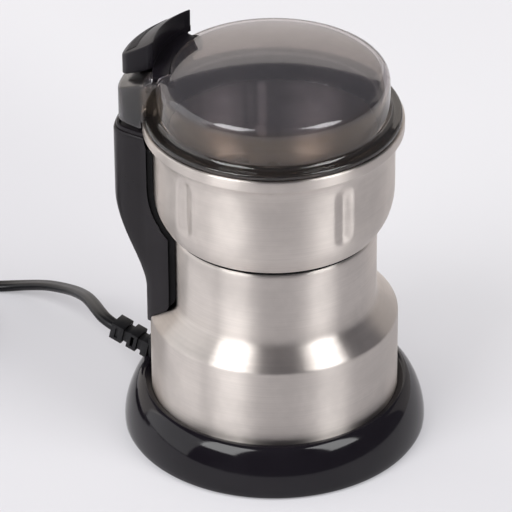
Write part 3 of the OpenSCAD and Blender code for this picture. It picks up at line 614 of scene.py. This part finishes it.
def bend_relief():
    """The moulded bend relief in its place, with its collar on the steel and its stub inside the body."""
    block = relief_block()
    along = (Vector(LEAD[1]) - Vector(RELIEF_AT)).normalized()
    across = Vector((0, 0, 1)).cross(along).normalized()
    turn = Matrix((along, across, along.cross(across))).transposed().to_4x4()
    place = Matrix.Translation(Vector(RELIEF_AT) / MM)
    bmesh.ops.transform(block, verts=block.verts, matrix=place @ turn)
    collar = box_of(-47.3, -45.0, -5, 5, 13.6, 26.8)
    round_edges(collar, collar.edges[:], 0.4)
    stub = box_of(-45.4, -40.6, -3.1, 3.1, 16.8, 24.2)
    return joined(block, collar, stub)


cord_line = [p / MM for p in smooth_line(LEAD, 4) + coil_line() + smooth_line(TAIL, 3)]
cord = piece("supply_cord", flat_cord(cord_line), vinyl, "body",
             ("cord_lead", "cord_coil", "cord_tail"), sharp=50.0)
plug = piece("plug_shell", eased_copy("plug_body", 0.9, 3), vinyl, "body", ("plug_body",))
relief = piece("cord_relief", to_mesh(bend_relief(), "relief"), vinyl, "body",
               ("strain_relief",))
length = sum((b - a).length for a, b in zip(cord_line, cord_line[1:]))

# ---------------------------------------------------------------- steel body

SHEET = 0.8
FLARE_R = 44.9
NECK_R = 37.0
BODY_LOW = 15.2
BODY_HIGH = 84.0


def body_contour():
    """The sheet's outer face from its foot up to the lip under the bowl, then its inner face back down."""
    line = [(FLARE_R, BODY_LOW), (FLARE_R, 46.6)]
    line += bend(line[-1], (FLARE_R, 47.4), (44.4, 47.9))
    line += [(38.4, 53.5)]
    line += bend(line[-1], (NECK_R, 54.9), (NECK_R, 57.0), 8)
    line += [(NECK_R, 81.6)]
    line += bend(line[-1], (NECK_R, BODY_HIGH), (34.8, BODY_HIGH), 8)
    line += [(32.0, BODY_HIGH), (32.0, BODY_HIGH - SHEET), (34.8, BODY_HIGH - SHEET)]
    line += bend(line[-1], (NECK_R - SHEET, BODY_HIGH - SHEET), (NECK_R - SHEET, 81.6), 4)
    line += [(NECK_R - SHEET, 58.0)]
    line += bend(line[-1], (NECK_R - SHEET, 54.7), (37.8, 53.0), 4)
    line += [(43.2, 48.0)]
    line += bend(line[-1], (FLARE_R - SHEET, 47.1), (FLARE_R - SHEET, 45.6), 3)
    return line + [(FLARE_R - SHEET, BODY_LOW)]


piece("steel_body", to_mesh(turned(body_contour(), 192), "steel_body"), steel_body, "body",
      ("housing_shell",))

# ---------------------------------------------------------------- bowl

BOWL_R = 43.2
BOWL_LOW = 85.2
HUB_HOLE_R = 8.6
RIM_R = 46.4
RIM_HIGH = 127.2
# The pressed flutes: their angles, the heights between which they are straight, their radius and depth
FLUTES = [math.radians(a) for a in (117.5, 36.3, -36.3, -117.5)]
FLUTE_LOW = 98.8
FLUTE_HIGH = 114.8
FLUTE_R = 4.1
FLUTE_DEEP = 1.2
# How much of a flute's section has straight flanks, and how round its bottom is
FLUTE_STRAIGHT = 0.65
FLUTE_BOTTOM = 0.12


def bowl_wall(d):
    """The bowl's contour from its floor to its rim, d millimetres inside the outer face."""
    line = [(36.4, BOWL_LOW + d)]
    line += bend(line[-1], (38.9 - d, BOWL_LOW + d), (39.5 - d, 87.4 + d / 2))
    line += bend(line[-1], (BOWL_R - d, 92.6), (BOWL_R - d, 101.0), 14)
    line += [(BOWL_R - d, 103.0 + 2.0 * i) for i in range(7)] + [(BOWL_R - d, 116.5)]
    line += bend(line[-1], (BOWL_R - d, 121.0), (45.6 - d, 122.6), 10)
    return line


def bowl_contour():
    """The bowl's outer face from the hole for the hub up over the rim, then its inner face back down."""
    line = [(HUB_HOLE_R, BOWL_LOW)] + bowl_wall(0.0)
    line += bend(line[-1], (RIM_R, 122.9), (RIM_R, 123.6), 4)
    line += [(RIM_R, 126.4)]
    line += bend(line[-1], (RIM_R, RIM_HIGH), (45.9, RIM_HIGH), 4)
    line += [(45.5, RIM_HIGH), (45.3, 126.8), (45.3, 123.8)]
    return line + bowl_wall(SHEET)[::-1] + [(HUB_HOLE_R, BOWL_LOW + SHEET)]


def flute_depth(far):
    """Depth of a flute, where far is 0 on its middle line and 1 at its edge."""
    straight = 1.0 - math.hypot(far, FLUTE_BOTTOM)
    rounded = math.cos(far * math.pi) * 0.5 + 0.5
    return max(FLUTE_DEEP * (FLUTE_STRAIGHT * straight + (1.0 - FLUTE_STRAIGHT) * rounded), 0.0)


def press_flutes(bm):
    """Pushes a vertical groove with round ends into the wall at each flute's angle."""
    for v in bm.verts:
        r = math.hypot(v.co.x, v.co.y) * MM
        z = v.co.z * MM
        along = max(0.0, FLUTE_LOW - z, z - FLUTE_HIGH)
        if along > FLUTE_R:
            continue
        for at in FLUTES:
            turn = (math.atan2(v.co.y, v.co.x) - at + math.pi) % (2 * math.pi) - math.pi
            far = math.hypot(turn * BOWL_R, along) / FLUTE_R
            if far < 1.0:
                v.co.xy *= (r - flute_depth(far)) / r


def fluted_bowl():
    """The bowl with its flutes."""
    bm = turned(bowl_contour(), 360)
    press_flutes(bm)
    return bm


def bowl_seat():
    """The plastic support as the solids have it, with a black ring in the gap under the bowl, a painted
    shadow that stands for the deep shade there.
    """
    support = bmesh.new()
    support.from_mesh(nodes["bowl_support"].data)
    # Painted shadow: this black ring fills the gap between the neck and the bowl, where only shade falls
    ring = turned([(35.6, 84.05), (NECK_R, 84.05), (37.3, 85.15), (35.6, 85.15)], 128)
    return joined(support, ring)


piece("steel_bowl", to_mesh(fluted_bowl(), "steel_bowl"), steel_bowl, "body", ("bowl",))
piece("support_and_shade_ring", to_mesh(bowl_seat(), "support"), black_and_gap_shade, "body", ("bowl_support",))

# ---------------------------------------------------------------- base

# The skirt's round outer face: where its curve stands, how far it reaches out and up, and how square it is
SKIRT_IN = 47.6
SKIRT_OUT = 7.4
SKIRT_LOW = 3.0
SKIRT_UP = 15.6
SKIRT_SQUARE = 1.25
SKIRT_STEPS = 20


def base_contour():
    """The base's section: the lip round the steel, the skirt, its hollow underside and the motor's deck."""
    line = [(45.05, BODY_LOW), (45.05, 17.2), (46.2, 18.1)]
    for i in range(SKIRT_STEPS + 1):
        a = math.radians(90 - 90 * i / SKIRT_STEPS)
        line.append((SKIRT_IN + SKIRT_OUT * math.cos(a) ** SKIRT_SQUARE,
                     SKIRT_LOW + SKIRT_UP * math.sin(a) ** SKIRT_SQUARE))
    line += [(55.0, 1.5), (54.6, 0.8), (53.4, 0.8), (53.4, 3.1), (52.4, 3.2), (52.0, 8.0), (49.4, 12.2)]
    line += [(13.0, 12.2), (13.0, 14.6), (42.0, 14.6), (42.0, 20.0), (44.0, 20.0), (44.0, BODY_LOW)]
    return line


piece("black_base", to_mesh(turned(base_contour(), 160), "black_base"), gloss_black, "body",
      ("base",))

# ---------------------------------------------------------------- shapes on the -X side

# Where the lever's pin and the push rod stand
PIN_X = -49.5
# Steps along the arc of a block on the -X side
ARC_STEPS = 72
# A block's limit on its width: from which angle off its middle it holds, in radians, and its fillet
LIMIT_FROM = 0.02
LIMIT_FILLET = 1.5
# How fast a side face runs outwards past the last point of its plan, in millimetres per radian
RUN_OUT = 60


def soft_least(a, b, k):
    """The smaller of a and b, with a fillet of size k where they cross."""
    t = min(max(0.5 + 0.5 * (b - a) / k, 0.0), 1.0)
    return b * (1 - t) + a * t - k * t * (1 - t)


def side_reach(plan, inset=0.0):
    """Distance from the axis to a side face at an angle from -X; plan is (outwards, half width) points."""
    spots = sorted((math.atan2(w - inset, u), math.hypot(u, w - inset)) for u, w in plan)

    def reach(angle):
        if angle <= spots[0][0]:
            return spots[0][1] + RUN_OUT * (spots[0][0] - angle)
        for (a0, r0), (a1, r1) in zip(spots, spots[1:]):
            if angle <= a1:
                return r0 + (r1 - r0) * (angle - a0) / (a1 - a0)
        return spots[-1][1]

    return reach


def polar_ring(radius, reach, widest, fillet, inner, z, limit=None):
    """A ring of points round a block on the -X side: an outer arc with filleted corners, and an inner arc.

    Widest is the block's half angle in degrees, z a height or a function of the distance outwards, and limit
    half of the width that the block may have.
    """
    outer, inside = [], []
    for i in range(ARC_STEPS + 1):
        angle = math.radians(widest) * (2 * i / ARC_STEPS - 1)
        r = soft_least(radius, reach(abs(angle)), fillet)
        if limit is not None and abs(angle) > LIMIT_FROM:
            r = max(soft_least(r, limit / math.sin(abs(angle)), LIMIT_FILLET), inner + 1)
        outer.append((-r * math.cos(angle), -r * math.sin(angle)))
        inside.append((-inner * math.cos(angle), -inner * math.sin(angle)))
    return [(x, y, z(-x) if callable(z) else z) for x, y in outer + inside[::-1]]


def wedge_ring(r0, r1, half, z0, z1, turn=0.0, steps=48):
    """A closed piece of a ring on the -X side, half an opening angle each way, turned by turn radians."""
    arc = [math.radians(180 - half + 2 * half * i / steps) + turn for i in range(steps + 1)]
    plan = [(r1 * math.cos(a), r1 * math.sin(a)) for a in arc]
    plan += [(r0 * math.cos(a), r0 * math.sin(a)) for a in arc[::-1]]
    return loft([[(x, y, z) for x, y in plan] for z in (z0, z1)])


# ---------------------------------------------------------------- clear lid

LID_R = 41.2
LID_WALL = 2.0
FLANGE_R = 45.6
FLANGE_LOW = 127.5
FLANGE_HIGH = 129.4
SHOULDER_R = 38.0
SHOULDER_Z = 145.4
DOME_RISE = 5.0
DOME_STEPS = 16
# The lug: its plan as (outwards, half width) points, its back, its wall and how its top falls outwards
LUG_PLAN = [(34, 21.0), (43.7, 19.7), (48.3, 18.1), (51.2, 16.5), (53, 15), (56, 10)]
LUG_R = 55.2
LUG_IN = 40.9
LUG_HALF = 26.0
LUG_WALL = 1.8
LUG_HIGH = 144.4
SLANT = 0.49
SLANT_FROM = 38.4
# The lug's rounded top edge: how far each ring lies inside the block and below its top
LUG_EDGE = ((0.0, 0.9), (0.12, 0.45), (0.45, 0.12), (0.9, 0.0))
# Inner radius, outer radius and half angle of the lever's ledge, of the recess it sinks into, of the pocket
# round that recess, and of the step that clears the lever's foot
LEDGE = (36.2, 42.3, 23.7)
RECESS = (35.9, 42.7, 24.1)
POCKET = (34.7, 44.0, 25.2)
FOOT_STEP = (40.85, 42.8, 28.0)
# Height of the open air above the lid, where its cuts end
OPEN_AIR = 160.0


def lug_top(u):
    """Height of the lug's slanted top at a distance outwards from the axis."""
    return LUG_HIGH - SLANT * (u - SLANT_FROM)


def lug_ring(d, inset, level):
    """A ring round the lug, made smaller by d for the hollow and by inset for the rounded edge."""
    reach = side_reach(LUG_PLAN, d + inset)
    return polar_ring(LUG_R - d - inset, reach, LUG_HALF - d, 1.6, LUG_IN + d * 0.9, level)


def lug_block(d, low):
    """The slanted block of the lug, or the plainer one that is its hollow, made smaller by d."""
    rings = [lug_ring(d, 0.0, low)]
    for inset, drop in LUG_EDGE if d == 0 else ((0.0, 0.0),):
        rings.append(lug_ring(d, inset, lambda u, k=drop + d / 2: lug_top(u) - k))
    return loft(rings)


def hollow_lug():
    """The lug with its hollow, cut away where the bowl's rim and the lid's skirt stand."""
    below = [(0.0, 120.0), (46.9, 120.0), (46.9, FLANGE_LOW), (0.0, FLANGE_LOW)]
    return cut(lug_block(0.0, 125.0), ("DIFFERENCE", lug_block(LUG_WALL, 124.0)),
               ("DIFFERENCE", turned(below, 128)))


def dome_line(d):
    """The lid's contour from the foot of its wall to the crown, d millimetres inside the outer face."""
    line = [(LID_R - d, 130.4), (LID_R - d, 140.6 - 0.2 * d)]
    line += bend(line[-1], (LID_R - d, 144.6 - d), (SHOULDER_R - 0.3 * d, SHOULDER_Z - d), 10)
    for i in range(1, DOME_STEPS + 1):
        out = 1 - i / DOME_STEPS
        line.append((SHOULDER_R * out * (1 - 0.008 * d), SHOULDER_Z + DOME_RISE * (1 - out ** 2) - d))
    return line


def lid_contour():
    """The lid's outer face from its skirt in the bowl to the crown, then its inner face back down."""
    line = [(40.3, 118.6)]
    line += bend(line[-1], (41.1, 118.1), (41.9, 118.8), 4)
    line += [(41.9, 125.2), (44.6, 125.2), (44.6, FLANGE_LOW), (45.4, FLANGE_LOW)]
    line += [(FLANGE_R, 127.8), (FLANGE_R, 128.4)]
    line += bend(line[-1], (FLANGE_R, FLANGE_HIGH), (44.6, FLANGE_HIGH), 4)
    line += [(43.2, FLANGE_HIGH)]
    line += bend(line[-1], (41.7, FLANGE_HIGH), (LID_R, 131.2), 4)
    return line + dome_line(0.0)[1:] + dome_line(LID_WALL)[::-1][:-1] + [(39.2, 126.0)]


def recess_pocket():
    """Floor and walls of the recess, kept just under the dome's outer face."""
    under_dome = [(0.0, 100.0)] + dome_line(0.35)
    return cut(wedge_ring(*POCKET, 139.6, 156.0), ("INTERSECT", turned(under_dome, 128)))


def lid_body():
    """The lid with its lug and pocket, and with the recess, the step and the pin's hole cut into it."""
    return cut(
        turned(lid_contour(), 192), ("UNION", hollow_lug()), ("UNION", recess_pocket()),
        ("DIFFERENCE", wedge_ring(*RECESS, 140.8, OPEN_AIR)),
        ("DIFFERENCE", wedge_ring(*FOOT_STEP, 142.9, OPEN_AIR)),
        ("DIFFERENCE", rod(PIN_X, 132.0, OPEN_AIR, 2.4)),
    )


def pin_guide():
    """The sleeve in the lug that guides the lever's pin, and the web that holds it."""
    sleeve = joined(rod(PIN_X, 127.6, 130.0, 4.4), box_of(-54.5, -41.1, -1.5, 1.5, 127.8, 129.8))
    return cut(sleeve, ("DIFFERENCE", rod(PIN_X, 120.0, 131.0, 2.08)))


piece("clear_lid", to_mesh(joined(lid_body(), pin_guide()), "lid"), clear_plastic, "lid", ("lid",),
      sharp=30.0)

# ---------------------------------------------------------------- lever

# The block: its plan as (outwards, half width) points, its back, the wall that faces the dome, half its angle
LEVER_PLAN = [(34, 15.9), (46, 15.5), (50, 14.6), (52.6, 13.0), (56, 9.6)]
LEVER_R = 54.5
LEVER_WALL = 42.1
LEVER_HALF = math.radians(21.4)
LEVER_STEPS = 64
# How far the block is turned to the far side
LEVER_TURN = math.radians(-5.6)
# Heights of its top at the wall and of its underside, and how the top falls outwards and to the far side
LEVER_HIGH = 155.05
LEVER_LOW = 146.2
TOP_FALL = 0.72
TOP_LEAN = 0.05
TOP_ARCH = 0.0015
# The rounded ends of the block: how far in from the end each section lies, and how much smaller it is
END_EDGE = ((0.0, 0.6), (0.0035, 0.18), (0.012, 0.0))
# Grip ribs on the top: how many, the outermost one's radius, the step to the next, their half width and size
GRIP_RIBS = 6
RIB_R = 52.7
RIB_STEP = 0.7
RIB_REACH = 12.4
RIB_WIDE = 0.34
RIB_DEEP = 0.5
RIB_HIGH = 0.2
RIB_STEPS = 32


def lever_top(x, y):
    """Height of the lever's slanted top, which falls outwards and a little to the far side."""
    return LEVER_HIGH - TOP_FALL * (math.hypot(x, y) - LEVER_WALL) - TOP_LEAN * y - TOP_ARCH * y * y


def lever_bottom(x, y):
    """Height of the lever's underside, which falls as the lug's top does."""
    return LEVER_LOW - SLANT * (-x - SLANT_FROM)


def lever_section(angle, inset):
    """The block's cross-section at an angle from -X, made smaller by inset millimetres."""
    inner = LEVER_WALL + inset
    reach = side_reach(LEVER_PLAN)(abs(angle))
    outer = max(soft_least(LEVER_R, reach, 1.0) - inset, inner + 1.3)
    # Along the underside, round the back's corners, in along the top and down the wall
    spots = [(inner + 0.3, inset, lever_bottom), (outer - 0.5, inset, lever_bottom),
             (outer - 0.15, inset + 0.15, lever_bottom), (outer, inset + 0.5, lever_bottom),
             (outer, -inset - 0.6, lever_top), (outer - 0.18, -inset - 0.18, lever_top)]
    spots += [(outer - 0.6 + (inner + 1.0 - outer) * i / 6, -inset, lever_top) for i in range(7)]
    spots += [(inner + 0.1, -inset - 0.1, lever_top), (inner, -inset - 0.4, lever_top),
              (inner, inset + 0.3, lever_bottom)]
    ring = []
    for r, lift, level in spots:
        x = -r * math.cos(angle + LEVER_TURN)
        y = -r * math.sin(angle + LEVER_TURN)
        ring.append((x, y, level(x, y) + lift))
    return ring


def lever_block():
    """The slanted block behind the wall that faces the dome."""
    ends = [(LEVER_HALF - back, inset) for back, inset in END_EDGE]
    widest = ends[-1][0]
    middle = [widest * (1 - 2 * i / LEVER_STEPS) for i in range(1, LEVER_STEPS)]
    return loft([lever_section(a, inset) for a, inset in ends] + [lever_section(a, 0.0) for a in middle]
                + [lever_section(-a, inset) for a, inset in reversed(ends)])


def lever_rib(outer):
    """One grip rib on the block's top, at an outer radius."""
    half = math.degrees(math.asin(RIB_REACH / outer))
    sections = []
    for i in range(RIB_STEPS + 1):
        a = math.radians(180 - half + 2 * half * i / RIB_STEPS) + LEVER_TURN
        near, far = ((r * math.cos(a), r * math.sin(a)) for r in (outer - RIB_WIDE, outer))
        near_z = lever_top(*near)
        far_z = lever_top(*far)
        sections.append([(*near, near_z - RIB_DEEP), (*far, far_z - RIB_DEEP),
                         (*far, far_z + RIB_HIGH), (*near, near_z + RIB_HIGH)])
    return loft(sections)


def lever_ledge():
    """The crescent ledge that lies in the lid's recess."""
    ledge = wedge_ring(*LEDGE, 142.7, 145.1)
    round_edges(ledge, sharp_edges(ledge), 0.25)
    return ledge


def whole_lever():
    """The ledge, the pin, the block, the foot that joins the ledge to it, and the grip ribs."""
    pin = rod(PIN_X, 122.4, 148.0, 2.0)
    foot = wedge_ring(LEVER_WALL, 42.6, 21.2, 144.7, 147.0, turn=LEVER_TURN)
    ribs = [lever_rib(RIB_R - RIB_STEP * k) for k in range(GRIP_RIBS)]
    return joined(lever_ledge(), pin, lever_block(), foot, *ribs)


piece("black_lever", to_mesh(whole_lever(), "lever"), lever_black, "lever", ("press_lever",))

# ---------------------------------------------------------------- switch housing

GRIP_PLAN = [(28, 23), (34, 22.3), (38, 21.2), (42.2, 20), (47, 18.95), (50.4, 18), (53.4, 16.5), (56, 14.7),
             (60, 10.8)]
GRIP_HALF = 38.0
GRIP_WALL = 2.2
# The outer face: its radius at the foot, how much it gains, from which height and over how much height
GRIP_LOW_R = 46
GRIP_GAIN = 11
GAIN_FROM = 58
GAIN_OVER = 36
# The rounded foot: the height where the rounding ends, its radius and half the flat width between the rounds
FOOT_ROUND_Z = 52.4
FOOT_ROUND_R = 9
FOOT_FLAT = 15
# Heights and insets of the rings that ease the foot and the top, and the plain ones between them
FOOT_RINGS = [(43.4, 0.9), (43.52, 0.45), (43.8, 0.12), (44.3, 0.0)]
SIDE_RINGS = [(45 + 1.5 * i, 0.0) for i in range(50)]
TOP_RINGS = [(119.9, 0.0), (120.5, 0.12), (120.9, 0.5), (121.0, 1.0), (122.1, 1.0), (122.4, 1.15),
             (122.5, 1.4)]
# The liner's thickness with its play, between the housing and the steel
LINER = 2.25
TRAY_R = 54.9
TRAY_IN = 47.4
TRAY_HALF = 20.4
# Heights of the two screw posts, how far out they start and their radius
POST_Z = (62.0, 76.0)
POST_FROM = 39.4
POST_R = 3.4


def grip_r(z):
    """Radius of the housing's outer face at a height."""
    return GRIP_LOW_R + GRIP_GAIN * eased((z - GAIN_FROM) / GAIN_OVER)


def grip_ring(z, inset=0.0):
    """A ring round the housing at a height, made smaller by inset millimetres."""
    limit = None
    if z < FOOT_ROUND_Z:
        limit = FOOT_FLAT + math.sqrt(max(0.0, FOOT_ROUND_R ** 2 - (FOOT_ROUND_Z - z) ** 2)) - inset
    reach = side_reach(GRIP_PLAN, inset)
    return polar_ring(grip_r(z) - inset, reach, GRIP_HALF, 2.2, 30.0, z, limit=limit)


def back_line(d):
    """Line d outside the neck and the bowl's wall."""
    line = [(37.1 + d, 59.0), (37.1 + d, 83.4 - d / 2), (39.3 + d, 86.6 - d / 2), (39.6 + d, 87.6 - d / 2)]
    line += bend(line[-1], (43.3 + d, 93.4 - d / 2), (43.3 + d, 102.0), 8)
    return line + [(43.3 + d, 116.8)]


def steel_room():
    """All that the steel and the liner take up, from the axis out."""
    line = [(0.0, 30.0), (45.0, 30.0), (45.0, 45.8)]
    line += bend(line[-1], (45.0, 47.5), (44.1, 48.4), 4)
    line += [(40.2, 52.0), (39.45, 53.9)] + back_line(LINER)
    line += [(45.55, 117.2), (46.2, 120.4), (46.2, 130.0), (0.0, 130.0)]
    return turned(line, 192)


def switch_hollow():
    """The room inside the housing for the switch and the rod, rounded in at its top."""
    rings = [(60 + 1.8 * i, GRIP_WALL) for i in range(32)] + [(116.7, GRIP_WALL), (118.1, 3.4)]
    return loft([grip_ring(z, inset) for z, inset in rings])


def top_tray():
    """The shallow open tray in the housing's top."""
    reach = side_reach(GRIP_PLAN, 2.0)
    return loft([polar_ring(TRAY_R, reach, TRAY_HALF, 1.2, TRAY_IN, z) for z in (120.9, 130.0)])


def screw_post(z):
    """A post that runs outwards inside the housing at a height, for a screw."""
    post = rod(0, POST_FROM, grip_r(z) - 1.2, POST_R)
    outwards = Matrix.Rotation(math.radians(-90), 3, "Y")
    bmesh.ops.rotate(post, verts=post.verts, cent=(0, 0, 0), matrix=outwards)
    bmesh.ops.translate(post, verts=post.verts, vec=(0, 0, z / MM))
    return post


def side_housing():
    """The moulded housing, open towards the steel, with its tray, the rod's hole and its screw posts."""
    shell = cut(
        loft([grip_ring(z, inset) for z, inset in FOOT_RINGS + SIDE_RINGS + TOP_RINGS]),
        ("DIFFERENCE", steel_room()), ("DIFFERENCE", switch_hollow()), ("DIFFERENCE", top_tray()),
        ("DIFFERENCE", rod(PIN_X, 117.0, 130.0, 3.7)),
    )
    return joined(shell, *(screw_post(z) for z in POST_Z))


piece("side_housing", to_mesh(side_housing(), "housing"), satin_black, "body", ("switch_housing",),
      sharp=32.0)

# ---------------------------------------------------------------- floor and light

# The floor's half width in metres, its two tones, and its own glow at the front and at the back
FLOOR_HALF = 4.0
FLOOR_TONES = ((0.775, 0.765, 0.79), (0.80, 0.79, 0.81))
NEAR_GLOW = (0.615, 0.61, 0.64)
FAR_GLOW = (0.80, 0.795, 0.82)
# Between which places the glow changes, in metres, and how much of it the camera sees
GLOW_CHANGE = (0.02, 0.15)
GLOW_SHARE = 0.5
# The point of the object that every lamp faces
MIDDLE = Vector((0, 0, 0.08))


def pale_floor():
    """A pale matt floor that gives off a part of its light to the camera alone."""
    f = Finish("pale floor")
    tone = f.mix(f.noise(2.0), *FLOOR_TONES)
    lit = f.surface(Base_Color=tone, Roughness=0.7)
    across, back, _ = f.place_parts()
    near, far = (f.add("Emission", {"Color": glow, "Strength": 1.0}) for glow in (NEAR_GLOW, FAR_GLOW))
    glowing = f.mix_shaders((back + across * 0.6).between(*GLOW_CHANGE), near, far)
    seen = f.add("LightPath", out="Is Camera Ray")
    return f.show(f.mix_shaders(seen * GLOW_SHARE, lit, glowing))


def lay_floor(finish):
    """A square floor at height 0, which is stage and no part of the object."""
    bm = bmesh.new()
    bmesh.ops.create_grid(bm, x_segments=1, y_segments=1, size=FLOOR_HALF)
    obj = bpy.data.objects.new("floor", to_mesh(bm, "floor"))
    scene.collection.objects.link(obj)
    obj.data.materials.append(finish)


def softbox(name, azimuth, elevation, distance, width, height, power, colour=(1, 1, 1)):
    """A soft lamp that faces the middle of the object."""
    lamp = bpy.data.lights.new(name, "AREA")
    lamp.shape = "RECTANGLE"
    lamp.size = width
    lamp.size_y = height
    lamp.energy = power
    lamp.color = colour
    obj = bpy.data.objects.new(name, lamp)
    scene.collection.objects.link(obj)
    a, e = math.radians(azimuth), math.radians(elevation)
    way = Vector((math.cos(e) * math.cos(a), math.cos(e) * math.sin(a), math.sin(e)))
    spot = MIDDLE + way * distance
    obj.matrix_world = Matrix.Translation(spot) @ way.to_track_quat("Z", "Y").to_matrix().to_4x4()


lay_floor(pale_floor())

world = bpy.data.worlds.new("studio")
scene.world = world
world.use_nodes = True
sky = world.node_tree.nodes["Background"]
sky.inputs["Color"].default_value = (0.92, 0.90, 1.0, 1.0)
sky.inputs["Strength"].default_value = 0.18

# Azimuth and elevation in degrees, distance, width and height in metres, and power in watts
softbox("left softbox", -118, 46, 2.4, 1.15, 1.45, 44.0)
softbox("right softbox", -12, 46, 2.4, 1.00, 1.45, 36.0)
softbox("left card", -160, 22, 1.5, 1.40, 1.30, 8.5)
for azimuth, power in ((65, 2.2), (109, 4.5), (153, 4.5)):
    softbox(f"backdrop panel {azimuth}", azimuth, 15, 1.6, 1.30, 1.10, power, (1.0, 0.93, 0.86))
